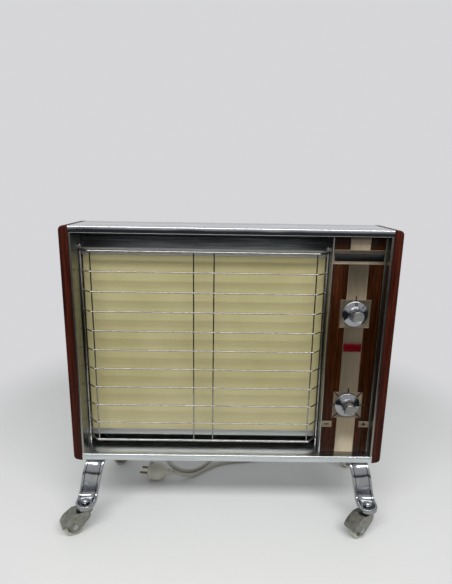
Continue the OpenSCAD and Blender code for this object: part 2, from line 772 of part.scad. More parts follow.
// Knob revolved about its shaft: thin conical skirt, raised ring, fluted and dished grip
module knob(z) {
  r = skirt_d / 2; g = grip_d / 2; t = g - 1.4;
  lean = atan((g - t) / (knob_h - 7.2 - knob_gap));
  color(polished) in_casing() translate([axis_x, trim_y, z]) rotate([90, 0, 0]) difference() {
    rotate_extrude() polygon([[shaft_d / 2 + fit, knob_gap + 1.2], [g + 4, knob_gap + 1.2],
      [r - 2, knob_gap + 0.2], [r - 1.4, knob_gap], [r - 0.4, knob_gap], [r, knob_gap + 0.4],
      [r, knob_gap + 1.2], [r - 0.5, knob_gap + 1.7], [r - 1.6, knob_gap + 1.9],
      [g + 2, knob_gap + 3.4], [g + 1.6, knob_gap + 4.6], [g + 0.8, knob_gap + 5],
      [g, knob_gap + 5], [t, knob_h - 2.2], [t - 0.6, knob_h - 0.6], [t - 1.8, knob_h],
      [t - 2.8, knob_h], [t - 3.6, knob_h - 1], [0, knob_h - 1.6], [0, knob_h - 5],
      [shaft_d / 2 + fit, knob_h - 5]]);
    for (i = [0 : grip_n - 1]) rotate([0, 0, (i + 0.5) * 360 / grip_n])
      translate([g + 0.7, 0, knob_gap + 6.5]) rotate([0, -lean, 0]) cylinder(r = 1.6, h = knob_h);
  }
}
module power_knob() { knob(power_z); }
module thermostat_knob() { knob(thermo_z); }

module terminal_block() {
  color(ceramic) in_casing() translate([axis_x - terminal_w / 2, casing_d - terminal_gap, sheet_t])
    difference() {
    cube([terminal_w, 17, 15]);
    for (i = [0 : 3]) for (y = [4.5, 12.5]) translate([6 + 12 * i, y, 6]) cylinder(d = 5, h = 10);
    for (i = [0 : 2]) translate([11.2 + 12 * i, -1, 11]) cube([1.6, 19, 5]);
  }
}

module cord_gland() {
  color(ink) in_casing() translate([gland_x, cover_back, outlet_z]) rotate([-90, 0, 0])
    rotate_extrude() polygon([[0, -4.5], [flex_r + 2.6, -4.5], [flex_r + 2.6, -sheet_t - 0.05],
      [flex_r + 1.45, -sheet_t - 0.05], [flex_r + 1.45, 0.05], [flex_r + 5, 0.05],
      [flex_r + 5, 2.6], [flex_r + 4, 3.6], [flex_r + 2.6, 4.2], [flex_r + 1.1, gland_l - 1],
      [flex_r + 0.6, gland_l], [0, gland_l]]);
}

// legs

// Band of depth d under the leg's outer surface, in the YZ plane; cut = start depth of the band
module leg_band(a, b) {
  e = a > 0 ? 1 : 0;
  translate([arc_y - e * 0.1, -b]) square([foot_l + 0.1 + e, b - a]);
  translate([arc_y, -leg_bend]) intersection() {
    difference() { circle(leg_bend - a); circle(leg_bend - b); }
    translate([-leg_bend - 1, 0]) square([leg_bend + 1, leg_bend + 1]);
  }
  translate([face_y + a, -leg_drop + leg_fillet]) square([b - a, leg_drop - leg_fillet - leg_bend]);
  translate([face_y - leg_fillet, -leg_drop + leg_fillet]) intersection() {
    difference() { circle(leg_fillet + b); circle(leg_fillet + a); }
    translate([0, -leg_fillet - b - 1]) square(leg_fillet + b + 1);
  }
  translate([-60, -leg_drop - b]) square([60 + face_y - leg_fillet, b - a]);
}

// Front view of the leg: it leans by leg_lean between the foot and the pad; w is its half width
module leg_front(w) {
  polygon([[-w, -leg_drop - 20], [w, -leg_drop - 20], [w, -leg_drop], [w - leg_lean, 0],
           [w - leg_lean, 5], [-w - leg_lean, 5], [-w - leg_lean, 0], [-w, -leg_drop]]);
}

// Plan of the leg: round end about the caster stem
module leg_plan(r) {
  translate([0, -pad_reach]) circle(r);
  translate([-60, -pad_reach]) square([120, 200]);
}

module leg_solid(a, b, w, r) {
  intersection() {
    along_x(-60, 60) leg_band(a, b);
    along_y(-80, 160) leg_front(w);
    translate([0, 0, -200]) linear_extrude(400) leg_plan(r);
  }
}

module leg() {
  w = leg_w / 2;
  color(polished) in_casing() translate([stem_x, 0, 0]) difference() {
    leg_solid(0, leg_flange, w, w);
    leg_solid(leg_t, leg_flange + 1, w - leg_t, w - leg_t);
    translate([0, -pad_reach, -leg_drop - 10]) cylinder(d = stem_d + 2 * fit, h = 20);
    for (y = foot_holes) translate([-leg_lean, y, -10]) cylinder(d = foot_screw_d + 2 * fit, h = 20);
  }
}
module leg_front_right() { leg(); }
module leg_front_left() { mirror([1, 0, 0]) leg(); }
module leg_rear_right() { mirror([0, 1, 0]) leg(); }
module leg_rear_left() { mirror([1, 0, 0]) mirror([0, 1, 0]) leg(); }

module leg_screws() {
  color(dull) in_casing() for (s = [-1, 1]) for (y = foot_holes) for (m = [y, 2 * mid_y - y])
    translate([s * foot_x, m, 0]) {
      translate([0, 0, -leg_t]) cylinder(d = foot_screw_d, h = leg_t + 6);
      intersection() {
        translate([0, 0, -leg_t - 3]) cylinder(d = 9, h = 3);
        translate([0, 0, -leg_t + 2]) sphere(5.6);
      }
    }
}

// casters

// Puts a piece drawn about the stem axis at one of the four casters
module at_caster(sx, sy) {
  a = sy < 0 ? trail_angle : trail_angle - 180;
  translate([sx * stem_x, sy * wheel_base / 2, 0]) rotate([0, 0, a]) children();
}

// Screw through the pad with its swivel flange, and the bearing cup that it clamps to the pad
module caster_stem(sx, sy) {
  r = stem_d / 2;
  plate_top = fork_h; plate_under = fork_h - fork_t;
  color(dull) at_caster(sx, sy) {
    difference() {
      union() {
        translate([0, 0, plate_under - side_play - 3]) cylinder(d = stem_d + 5, h = 3);
        translate([0, 0, plate_under - side_play - 1]) cylinder(r = r, h = pad_top - plate_under + 4);
        translate([0, 0, pad_top]) cylinder(d = washer_d, h = washer_h);
        intersection() {
          translate([0, 0, pad_top]) cylinder(d = 11, h = 6);
          translate([0, 0, pad_top - 2]) sphere(7.2);
        }
      }
      for (q = [0, 90]) rotate([0, 0, q]) translate([-2.6, -0.6, pad_top + 3.6]) cube([5.2, 1.2, 3]);
    }
    translate([0, 0, plate_top + side_play]) rotate_extrude()
      polygon([[r + fit, 0], [10, 0], [11.5, 1], [12.5, pad_under - plate_top - side_play],
               [r + fit, pad_under - plate_top - side_play]]);
  }
}
module caster_stem_front_left() { caster_stem(-1, -1); }
module caster_stem_front_right() { caster_stem(1, -1); }
module caster_stem_rear_left() { caster_stem(-1, 1); }
module caster_stem_rear_right() { caster_stem(1, 1); }

function on_axle(r, a) = [trail + r * cos(a), wheel_r + r * sin(a)];
hood_a0 = 12; hood_a1 = 60;
hood_m = hood_r - fork_t / 2;
roof_z = fork_h - fork_t / 2;
hood_join = on_axle(hood_m, hood_a1);
roof_end = hood_join + (roof_z - hood_join[1]) / cos(hood_a1) * [-sin(hood_a1), cos(hood_a1)];

// Side view of the fork's folded roof and hood
module fork_roof() {
  fold([[-fork_w / 2, roof_z], roof_end, hood_join], fork_t);
  translate([trail, wheel_r]) intersection() {
    difference() { circle(hood_r); circle(hood_r - fork_t); }
    polygon([[0, 0], [40 * cos(hood_a0), 40 * sin(hood_a0)], [40, 40],
             [40 * cos(hood_a1), 40 * sin(hood_a1)]]);
  }
}

// Side view of a fork cheek: round at the axle, flush with the roof and the hood
module fork_cheek() {
  c = axle_d / 2 + 7;
  polygon([[-fork_w / 2, fork_h - 7], [-fork_w / 2, roof_z], roof_end, on_axle(hood_m, hood_a1),
           on_axle(hood_m, (hood_a0 + hood_a1) / 2), on_axle(hood_m, hood_a0), on_axle(c, -55),
           on_axle(c, 225)]);
  translate([trail, wheel_r]) circle(c);
}

module fork_plan(r) {
  circle(r);
  translate([0, -r]) square([80, 2 * r]);
}

module caster_fork(sx, sy) {
  w = fork_w / 2;
  color(grey_paint) at_caster(sx, sy) difference() {
    intersection() {
      union() {
        along_y(-w, w) fork_roof();
        along_y(-w, -w + fork_t) fork_cheek();
        along_y(w - fork_t, w) fork_cheek();
        difference() {
          translate([0, 0, fork_h - 7]) cylinder(r = w, h = 7 - fork_t / 2);
          translate([0, 0, fork_h - 8]) cylinder(r = w - fork_t, h = 9);
          box(0, 40, -20, 20, 0, 60);
        }
      }
      linear_extrude(80) fork_plan(w);
    }
    translate([0, 0, fork_h - 10]) cylinder(d = stem_d + 2 * fit, h = 20);
    translate([trail, 0, wheel_r]) cyl_y(-w - 1, w + 1, axle_d + 2 * fit);
  }
}
module caster_fork_front_left() { caster_fork(-1, -1); }
module caster_fork_front_right() { caster_fork(1, -1); }
module caster_fork_rear_left() { caster_fork(-1, 1); }
module caster_fork_rear_right() { caster_fork(1, 1); }

// Rivet axle with a domed head outside each cheek
module caster_axle(sx, sy) {
  w = fork_w / 2;
  color(dull) at_caster(sx, sy) translate([trail, 0, wheel_r]) {
    cyl_y(-w - 1, w + 1, axle_d);
    for (s = [0, 1]) mirror([0, s, 0]) intersection() {
      cyl_y(w, w + 2.2, axle_d + 4);
      translate([0, w - 5.2, 0]) sphere(7.2);
    }
  }
}
module caster_axle_front_left() { caster_axle(-1, -1); }
module caster_axle_front_right() { caster_axle(1, -1); }
module caster_axle_rear_left() { caster_axle(-1, 1); }
module caster_axle_rear_right() { caster_axle(1, 1); }

// Wheel revolved about its axle: hub, thin web and a rounded tread
module caster_wheel(sx, sy) {
  w = wheel_w / 2; hub = fork_w / 2 - fork_t - side_play; r = 2.5;
  color(nylon) at_caster(sx, sy) translate([trail, 0, wheel_r]) rotate([90, 0, 0])
    rotate_extrude() {
      translate([axle_d / 2 + fit, -hub]) square([4, 2 * hub]);
      translate([axle_d / 2 + 3, -3]) square([wheel_r - axle_d / 2 - 6, 6]);
      translate([wheel_r - 5.5, -w]) square([5.5 - r, wheel_w]);
      translate([wheel_r - 5.5, -w + r]) square([5.5, wheel_w - 2 * r]);
      for (s = [-1, 1]) translate([wheel_r - r, s * (w - r)]) circle(r);
    }
}
module caster_wheel_front_left() { caster_wheel(-1, -1); }
module caster_wheel_front_right() { caster_wheel(1, -1); }
module caster_wheel_rear_left() { caster_wheel(-1, 1); }
module caster_wheel_rear_right() { caster_wheel(1, 1); }

// mains lead

// Catmull-Rom curve through the points p, n steps between neighbours
function cr(a, b, c, d, t) = 0.5 * ((2 * b) + (c - a) * t + (2 * a - 5 * b + 4 * c - d) * t * t
  + (3 * b - a - 3 * c + d) * t * t * t);
function smooth(p, n) = [for (i = [0 : len(p) - 2]) for (k = [0 : n - 1])
    cr(p[max(i - 1, 0)], p[i], p[i + 1], p[min(i + 2, len(p) - 1)], k / n), p[len(p) - 1]];
function unit(v) = v / norm(v);
function heading(p) = [for (i = [0 : len(p) - 1])
  unit(p[min(i + 1, len(p) - 1)] - p[max(i - 1, 0)])];
function across(t) = [for (i = 0, n = unit(cross(t[0], [0.02, 0.01, 1]));
    i < len(t);
    n = i + 1 < len(t) ? unit(n - (n * t[i + 1]) * t[i + 1]) : n, i = i + 1) n];

// Tube along the points p, with m sides; its end faces are square to a and b
module tube(p, r, m, a, b) {
  t0 = heading(p); last = len(p) - 1;
  t = [for (i = [0 : last]) i == 0 ? a : i == last ? b : t0[i]];
  n = across(t);
  ring = [for (i = [0 : last]) for (k = [0 : m - 1])
    p[i] + r * (cos(360 * (k + 0.5) / m) * n[i] + sin(360 * (k + 0.5) / m) * cross(t[i], n[i]))];
  side = [for (i = [0 : last - 1]) for (k = [0 : m - 1]) let (k1 = (k + 1) % m)
    each [[i * m + k, i * m + k1, (i + 1) * m + k1], [i * m + k, (i + 1) * m + k1, (i + 1) * m + k]]];
  start = [for (k = [1 : m - 2]) [0, k + 1, k]];
  end = [for (k = [1 : m - 2]) [last * m, last * m + k, last * m + k + 1]];
  polyhedron(points = ring, faces = [for (f = concat(side, start, end)) [f[0], f[2], f[1]]]);
}

// Coil: winds inwards on its lower layer, climbs in a quarter turn, and winds outwards again
coil_total = 2 * coil_turns + 0.5;
coil_in = coil_r - turn_step * coil_turns;
function coil_rad(u) = u < coil_turns ? coil_r - turn_step * u
  : coil_in + turn_step * max(0, u - coil_turns - coil_climb);
function coil_lift(u) = coil_z + turn_step * min(1, max(0, (u - coil_turns) / coil_climb));
function coil_point(u) = [coil_at[0] + coil_rad(u) * cos(180 - 360 * u),
  coil_at[1] + coil_rad(u) * sin(180 - 360 * u), coil_lift(u)];
coil_body = [for (k = [0 : coil_total * 24]) coil_point(k / 24)];
coil_path = [coil_body[0] - [0, flex_d, 0], each coil_body,
  coil_body[len(coil_body) - 1] - [0, flex_d, 0]];
coil_start = coil_path[0];
coil_end = coil_path[len(coil_path) - 1];
// Least gap between turns, over points that are at least a third of a turn apart
coil_gap = min([for (i = [0 : len(coil_body) - 9]) for (j = [i + 8 : len(coil_body) - 1])
  norm(coil_body[i] - coil_body[j])]) - flex_d;
echo(coil_gap = coil_gap);

plug_dir = [cos(plug_angle), sin(plug_angle), 0];
plug_end = [plug_tail[0], plug_tail[1], plug_z];
drop_z = floor_gap + outlet_z;
rear_route = [[gland_x, outlet_y, drop_z], [gland_x, outlet_y + 15, drop_z],
  [gland_x, outlet_y + 31, drop_z - 1], [gland_x, outlet_y + 46, drop_z - 6.5], [200, 157, 172],
  [200, 161.5, 156], [200, 162.5, 138], [200, 162.5, 100], [200, 162.5, 62], [199.5, 164, 43],
  [197, 167.5, 27], [191.5, 175, 14.5], [183, 186, 6.5], [172, 198.5, lead_z], [148, 218, lead_z],
  [116, 234, lead_z], [78, 241, lead_z], [38, 242, lead_z], [-10, 239, lead_z], [-58, 225, lead_z],
  [-100, 198, lead_z], [-130, 162, lead_z], [-137, 126, lead_z], [-128, 100, lead_z],
  [-110, 82, lead_z], [-87, 75, lead_z], [-65, 82, lead_z], [-49, 99, lead_z], [-36, 121, lead_z],
  [-17, 146, lead_z], coil_start];
front_route = [coil_end, [87.8, 155, 12.2], [84, 141, 10.2], [76, 129.5, 7.6], [64, 121.5, 5.2],
  [47, 117, lead_z], [14, 112.5, lead_z], [-17, 103.5, lead_z], [-42, 87.5, lead_z],
  [-61, 70, lead_z], [-77, 58.5, lead_z + 1], [-91, 52, lead_z + 5], [-105, 48.8, lead_z + 11.5],
  plug_end];

module mains_lead_rear() {
  color(flex_white) tube(smooth(rear_route, 2), flex_r, 8, [0, 1, 0], [0, 1, 0]);
}
module cord_coil() { color(flex_white) tube(coil_path, flex_r, 6, [0, 1, 0], [0, -1, 0]); }

// Strap round the far side of the coil, with a small buckle on top
module cord_tie() {
  y0 = coil_in - flex_r; y1 = coil_rad(coil_total - 0.25) + flex_r + 0.4;
  h = coil_z + turn_step + flex_r + 0.2 - tie_t;
  color(ink) translate([coil_at[0], coil_at[1] + (y0 + y1) / 2, tie_t + h / 2]) {
    along_x(-tie_w / 2, tie_w / 2) difference() {
      round_rect(y1 - y0 + 2 * tie_t, h + 2 * tie_t, 4);
      round_rect(y1 - y0, h, 4 - tie_t);
    }
    translate([-tie_w / 2 - 1, -3.5, h / 2 + tie_t / 2]) cube([tie_w + 2, 7, 3]);
  }
}

module mains_lead_front() {
  color(flex_white) tube(smooth(front_route, 2), flex_r, 8, [0, -1, 0], plug_dir);
}

// Round plug lying on its side: tapered grip, ribs where the fingers hold, earth clip recesses
module plug_body() {
  r = plug_d / 2;
  color(flex_white) translate(plug_end) rotate([0, 0, plug_angle]) difference() {
    rotate([0, 90, 0]) rotate_extrude() polygon([[0, 0], [flex_r + 1.2, 0], [flex_r + 2, 1.5],
      [flex_r + 3.4, 12], [flex_r + 6.4, 16], [r - 4.2, 22], [r - 1.4, 27], [r - 0.4, 31], [r, 33],
      [r, plug_l - 1.5], [r - 1.5, plug_l], [0, plug_l]]);
    for (s = [-1, 1]) {
      translate([plug_l - 9, -4, s * (r - 1.6) - 2]) cube([12, 8, 4]);
      translate([plug_l, s * pin_gap / 2, 0]) cyl_x(-6, 1, pin_d + 2 * fit);
    }
  }
}

module plug_pins() {
  color(brass) translate(plug_end) rotate([0, 0, plug_angle]) for (s = [-1, 1])
    translate([plug_l, s * pin_gap / 2, 0]) rotate([0, 90, 0]) rotate_extrude()
      polygon([[0, -6], [pin_d / 2 - 0.3, -6], [pin_d / 2 - 0.3, 0.4], [pin_d / 2, 0.4],
        [pin_d / 2, pin_l - 1.4], [pin_d / 2 - 1.2, pin_l], [0, pin_l]]);
}

side_board_left();
side_board_right();
top_cover();
base_tray();
side_frame_left();
side_frame_right();
radiant_panel();
panel_rail_top();
panel_rail_bottom();
deflector();
grille();
grille_clips();
heat_reflector();
heating_elements();
element_brackets();
thermal_cutout();
control_box();
fascia();
fascia_trim();
badge_bar();
fascia_tags();
indicator_lens();
neon_lamp();
power_switch();
power_shaft();
power_knob();
thermostat();
thermostat_shaft();
thermostat_knob();
terminal_block();
back_cover();
cover_screws();
cord_gland();
leg_front_left();
leg_front_right();
leg_rear_left();
leg_rear_right();
leg_screws();
caster_stem_front_left();
caster_stem_front_right();
caster_stem_rear_left();
caster_stem_rear_right();
caster_fork_front_left();
caster_fork_front_right();
caster_fork_rear_left();
caster_fork_rear_right();
caster_axle_front_left();
caster_axle_front_right();
caster_axle_rear_left();
caster_axle_rear_right();
caster_wheel_front_left();
caster_wheel_front_right();
caster_wheel_rear_left();
caster_wheel_rear_right();
mains_lead_rear();
cord_coil();
cord_tie();
mains_lead_front();
plug_body();
plug_pins();
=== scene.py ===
from math import atan2, cos, pi, radians, sin, tan

import bpy
from mathutils import Matrix, Vector


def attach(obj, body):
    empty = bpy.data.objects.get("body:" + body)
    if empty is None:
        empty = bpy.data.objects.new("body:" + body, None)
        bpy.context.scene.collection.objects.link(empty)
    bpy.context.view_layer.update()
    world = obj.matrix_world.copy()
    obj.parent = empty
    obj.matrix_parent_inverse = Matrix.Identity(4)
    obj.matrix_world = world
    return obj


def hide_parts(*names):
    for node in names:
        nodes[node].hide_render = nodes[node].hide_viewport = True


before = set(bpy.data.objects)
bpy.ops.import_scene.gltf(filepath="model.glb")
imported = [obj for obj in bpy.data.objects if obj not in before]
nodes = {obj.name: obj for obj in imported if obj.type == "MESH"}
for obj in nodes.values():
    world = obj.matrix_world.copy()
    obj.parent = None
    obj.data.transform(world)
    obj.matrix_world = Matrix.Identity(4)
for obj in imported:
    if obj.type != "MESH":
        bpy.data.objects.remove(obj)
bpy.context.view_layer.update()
print("frame loaded:", len(nodes), "nodes")

# Drawings are in millimetres: the casing from its front lower edge, the rest from the floor
casingFront = 72.5
casingFoot = 130
touching = 0.0001  # metres: places nearer than this are one place


def onFloor(x, y, z):
    return Vector((x, y, z)) / 1000


def inCasing(x, y, z):
    return onFloor(x, y - casingFront, z + casingFoot)


def openMesh():
    bpy.ops.object.mode_set(mode="EDIT")


def closeMesh():
    bpy.ops.object.mode_set(mode="OBJECT")


def selectOnly(*pieces):
    if bpy.context.object and bpy.context.object.mode != "OBJECT":
        closeMesh()
    bpy.ops.object.select_all(action="DESELECT")
    for piece in pieces:
        piece.select_set(True)
    bpy.context.view_layer.objects.active = pieces[0]


def newObject(name, data):
    piece = bpy.data.objects.new(name, data)
    bpy.context.collection.objects.link(piece)
    return piece


def settle(piece):  # its place, turn and size go into its mesh
    selectOnly(piece)
    bpy.ops.object.transform_apply(location=True, rotation=True, scale=True)


def sized(width, height):  # the new primitive, stretched to so many metres
    piece = bpy.context.object
    piece.scale = (width, height, 1)
    settle(piece)
    return piece


def justAdded():  # the new primitive, open for editing, selected all over
    openMesh()
    bpy.ops.mesh.select_mode(type="VERT")
    bpy.ops.mesh.select_all(action="SELECT")
    return bpy.context.object


# Selects vertices, edges or faces by their place, or none; the piece stays open
def pick(piece, kind, test=lambda *place: False):
    openMesh()
    bpy.ops.mesh.select_mode(type=kind)
    bpy.ops.mesh.select_all(action="DESELECT")
    closeMesh()
    mesh, place = piece.data, piece.matrix_world
    if kind == "VERT":
        for v in mesh.vertices:
            v.select = bool(test(place @ v.co))
    elif kind == "EDGE":
        for e in mesh.edges:
            a, b = (place @ mesh.vertices[i].co for i in e.vertices)
            e.select = bool(test((a + b) / 2, (b - a).normalized()))
    else:
        for f in mesh.polygons:
            f.select = bool(test(place @ f.center, place.to_3x3() @ f.normal))
    openMesh()


def pull(step):  # extrudes the selected face
    bpy.ops.mesh.extrude_region_move(TRANSFORM_OT_translate={"value": tuple(step)})


def pullEdges(step):
    bpy.ops.mesh.extrude_edges_move(TRANSFORM_OT_translate={"value": tuple(step)})


def roundOff(width, segments, **more):  # bevels the selected edges, width in millimetres
    bpy.ops.mesh.bevel(offset=width / 1000, segments=segments, affect="EDGES", **more)


def modify(piece, kind, **settings):  # a modifier, applied at once
    selectOnly(piece)
    modifier = piece.modifiers.new(kind.title(), kind)
    for key, value in settings.items():
        setattr(modifier, key, value)
    bpy.ops.object.modifier_apply(modifier=modifier.name)


def softenEdges(piece, width, segments=2, angle=35):  # all edges sharper than the angle, in millimetres
    modify(piece, "BEVEL", width=width / 1000, segments=segments, limit_method="ANGLE",
           angle_limit=radians(angle))


def cutAway(piece, cutter):
    modify(piece, "BOOLEAN", operation="DIFFERENCE", object=cutter, solver="EXACT")
    bpy.data.objects.remove(cutter)


def tidyMesh(outwards=True):  # of the active piece, open or not
    openMesh()
    bpy.ops.mesh.select_all(action="SELECT")
    bpy.ops.mesh.remove_doubles(threshold=touching / 10)
    if outwards:
        bpy.ops.mesh.normals_make_consistent(inside=False)
    closeMesh()


def coat(piece, material):
    piece.data.materials.clear()
    piece.data.materials.append(material)


def finish(piece, name, material, node=None, body="casing", smooth=35):
    settle(piece)
    piece.name = piece.data.name = name
    coat(piece, material)
    if smooth:
        bpy.ops.object.shade_smooth_by_angle(angle=radians(smooth))
    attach(piece, body)
    if node:  # the piece stands for this node, which is hidden
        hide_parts(node)
    return piece


def join(pieces):
    selectOnly(*pieces)
    bpy.ops.object.join()
    return bpy.context.object


def duplicate(piece, move=(0, 0, 0), mirror=(1, 1, 1)):
    twin = newObject(piece.name, piece.data.copy())
    twin.matrix_world = (Matrix.Translation(Vector(move)) @ Matrix.Diagonal((*mirror, 1))
                         @ piece.matrix_world)
    settle(twin)
    if mirror[0] * mirror[1] * mirror[2] < 0:  # a mirrored shell comes out inside out
        openMesh()
        bpy.ops.mesh.select_all(action="SELECT")
        bpy.ops.mesh.flip_normals()
        closeMesh()
    return twin


def softCopy(node, width, segments=2):  # the CAD node's own shape with its edges rounded
    piece = newObject(node, nodes[node].data.copy())
    selectOnly(piece)
    tidyMesh(outwards=False)
    openMesh()
    bpy.ops.mesh.dissolve_limited(angle_limit=radians(1))
    closeMesh()
    if width:
        softenEdges(piece, width, segments)
    return piece


def easedCopies(rows, smooth=35):  # pieces of the CAD's own shape
    for node, name, material, width, segments in rows:
        finish(softCopy(node, width, segments), name, material, node, smooth=smooth)


# View and mains lead first: the photograph and the CAD fix them
view = {"place": (-0.0136, -0.8127, 0.6384), "turn": (76.5983, -0.9047, -0.2345), "lens": 27.12,
        "sensor": 36}
camera = newObject("photo_view", bpy.data.cameras.new("photo_view"))
camera.location = view["place"]
camera.rotation_euler = [radians(a) for a in view["turn"]]
camera.data.lens = view["lens"]
camera.data.sensor_width = view["sensor"]
bpy.context.scene.camera = camera


def colour(code):  # "#rrggbb" as seen on a screen, to the linear colour a shader takes
    parts = [int(code[i:i + 2], 16) / 255 for i in (1, 3, 5)]
    return (*[p / 12.92 if p <= 0.04045 else ((p + 0.055) / 1.055) ** 2.4 for p in parts], 1)


def newMaterial(name):
    material = bpy.data.materials.new(name)
    material.use_nodes = True
    material.node_tree.nodes.clear()
    return material, addNode(material, "TexCoord").outputs["Object"]


def addNode(owner, kind, inputs={}, stops=(), **settings):  # an input is a value, a node or a node's output
    tree = owner.node_tree
    node = tree.nodes.new("ShaderNode" + kind)
    for key, value in settings.items():
        setattr(node, key, value)
    for k, (place, code) in enumerate(stops):
        band = node.color_ramp.elements
        stop = band[k] if k < 2 else band.new(place)
        stop.position, stop.color = place, colour(code)
    for key, value in inputs.items():
        if isinstance(value, bpy.types.Node):  # a node gives its first output in use
            value = next(o for o in value.outputs if o.enabled)
        if isinstance(value, bpy.types.NodeSocket):
            tree.links.new(value, node.inputs[key])
        else:
            node.inputs[key].default_value = value
    return node


def surface(m, tint, marks, haze, relief, more):  # the shader; its roughness follows the marks
    dull = addNode(m, "MapRange", {"Value": marks, "To Min": haze[0], "To Max": haze[1]})
    shader = addNode(m, "BsdfPrincipled", {"Base Color": tint, "Roughness": dull, "Normal": relief, **more})
    addNode(m, "OutputMaterial", {"Surface": shader})
    return m


# Wood, or its print: a long figure up the board with fine dark lines in it, under lacquer or a hard gloss
def woodFinish(name, look):
    m, place = newMaterial(name)

    def noise(across, run, **settings):
        along = addNode(m, "Mapping", {"Vector": place, "Scale": (1 / across, 1 / across, 1 / run)})
        return addNode(m, "TexNoise", {"Vector": along, "Scale": 1.0, **settings})
    figure = noise(look["figure"], look["run"], Detail=look["detail"], Roughness=look["fray"],
                   Distortion=look["swirl"])
    lines = noise(look["line"], look["lineRun"], Detail=2.0)
    tone = addNode(m, "ValToRGB", {"Fac": figure}, look["tones"])
    dark = addNode(m, "ValToRGB", {"Fac": lines}, look["lineTones"])
    wood = addNode(m, "Mix", {0: look["lineShare"], 6: tone, 7: dark}, data_type="RGBA", blend_type="MULTIPLY")
    relief = addNode(m, "Bump", {"Height": lines, "Distance": look["depth"]})
    return surface(m, wood, figure, look["haze"], relief, {"IOR": look["ior"], "Specular IOR Level": 0.12})


# Teak veneer under satin lacquer: red-brown, long streaks and fine open pores up the board, a soft sheen
teak = woodFinish("teak_veneer_satin_lacquer", {
    "tones": [(0.3, "#240b06"), (0.5, "#3a140b"), (0.72, "#542213")], "figure": 0.005, "run": 0.14,
    "detail": 5.0, "fray": 0.6, "swirl": 0.6, "lineTones": [(0.36, "#b3b3b3"), (0.5, "#ffffff")],
    "lineShare": 0.75, "line": 0.0008, "lineRun": 0.018, "depth": 0.00006, "haze": (0.38, 0.55), "ior": 1.4})
# Rosewood-print laminate: orange-brown figure with near-black lines up the plate, under a hard gloss
laminate = woodFinish("rosewood_print_laminate", {
    "tones": [(0.34, "#180802"), (0.52, "#2f1404"), (0.7, "#4b230a")], "figure": 0.006, "run": 0.15,
    "detail": 6.0, "fray": 0.62, "swirl": 1.1, "lineTones": [(0.4, "#b0b0b0"), (0.55, "#ffffff")],
    "lineShare": 0.8, "line": 0.0009, "lineRun": 0.03, "depth": 0.00002, "haze": (0.2, 0.3), "ior": 1.45})


# Vitreous enamel on pressed steel: glassy, a faint orange peel and slow waves of the sheet under it
def vitreousEnamel():
    look = {"colour": "#bab186", "shade": "#b1a87b", "peel": 0.0035, "peelDepth": 0.00003, "wave": 0.07,
            "waveDepth": 0.0012, "haze": (0.11, 0.17)}
    m, place = newMaterial("cream_vitreous_enamel")
    wave = addNode(m, "TexNoise", {"Vector": place, "Scale": 1 / look["wave"], "Detail": 2.0, "Roughness": 0.4})
    peel = addNode(m, "TexNoise", {"Vector": place, "Scale": 1 / look["peel"], "Detail": 2.0})
    tone = addNode(m, "ValToRGB", {"Fac": wave}, [(0.3, look["shade"]), (0.7, look["colour"])])
    slow = addNode(m, "Bump", {"Height": wave, "Distance": look["waveDepth"]})
    fine = addNode(m, "Bump", {"Height": peel, "Distance": look["peelDepth"], "Normal": slow})
    return surface(m, tone, peel, look["haze"], fine, {"IOR": 1.52})


# Bare and plated metals: tint and haze wander along the marks of rolling, brushing or buffing,
# and a thin sheet also carries slow waves that bend what it mirrors
def metalFinish(name, tone, shade, haze, marks, depth=0.00001, waves=0.0):
    m, place = newMaterial(name)
    drawn = addNode(m, "Mapping", {"Vector": place, "Scale": [1 / mark for mark in marks]})
    streak = addNode(m, "TexNoise", {"Vector": drawn, "Scale": 1.0, "Detail": 4.0, "Roughness": 0.6})
    tint = addNode(m, "ValToRGB", {"Fac": streak}, [(0.3, shade), (0.68, tone)])
    relief = {"Height": streak, "Distance": depth}
    if waves:
        slack = addNode(m, "TexNoise", {"Vector": place, "Scale": 14.0, "Detail": 1.0})  # about 70 mm apart
        relief["Normal"] = addNode(m, "Bump", {"Height": slack, "Distance": waves})
    return surface(m, tint, streak, haze, addNode(m, "Bump", relief), {"Metallic": 1.0})


# Paints, plastics and ceramic: a cloudy tint about 30 mm across, and the skin that spraying or moulding leaves
def skinFinish(name, tone, shade, haze, grain, depth, ior=1.5, clear=0.0):
    m, place = newMaterial(name)
    cloud = addNode(m, "TexNoise", {"Vector": place, "Scale": 33.0, "Detail": 3.0, "Roughness": 0.6})
    fine = addNode(m, "TexNoise", {"Vector": place, "Scale": 1 / grain, "Detail": 3.0, "Roughness": 0.6})
    tint = addNode(m, "ValToRGB", {"Fac": cloud}, [(0.3, shade), (0.7, tone)])
    relief = addNode(m, "Bump", {"Height": fine, "Distance": depth})
    return surface(m, tint, fine, haze, relief, {"IOR": ior, "Transmission Weight": clear})


enamel = vitreousEnamel()
# Mirror-polished stainless sheet: cool grey, hardly any haze, long polishing marks
polishedSteel = metalFinish("mirror_polished_stainless", "#cbcdce", "#b9bbbc", (0.07, 0.17),
                            (0.2, 0.002, 0.002), 0.000006, 0.0022)
# The same sheet set upright inside the opening, hazier and painted darker as shade: its marks run up the frame
shadedUprightSteel = metalFinish("stainless_upright_painted_shade", "#a7a79f", "#807f78", (0.2, 0.36), (0.003, 0.003, 0.2))
# Tray and ledge: polished sheet with the scratches of years of dusting
trayedSteel = metalFinish("scratched_polished_stainless", "#d3d7da", "#b4b9bc", (0.18, 0.32),
                          (0.07, 0.0016, 0.0016), 0.000007, 0.0008)
# Zinc-plated strip brushed along its length: milky grey
zincStrip = metalFinish("brushed_zinc_plate", "#c8c8c4", "#b0b1ad", (0.36, 0.5), (0.08, 0.0012, 0.0012))
# The strip over the panel: the same plate, painted whiter as light to lift it out of the shade under the cover's
# lip
litZincStrip = metalFinish("zinc_plate_painted_light", "#f0f0ec", "#dadad6", (0.45, 0.6), (0.08, 0.0012, 0.0012))
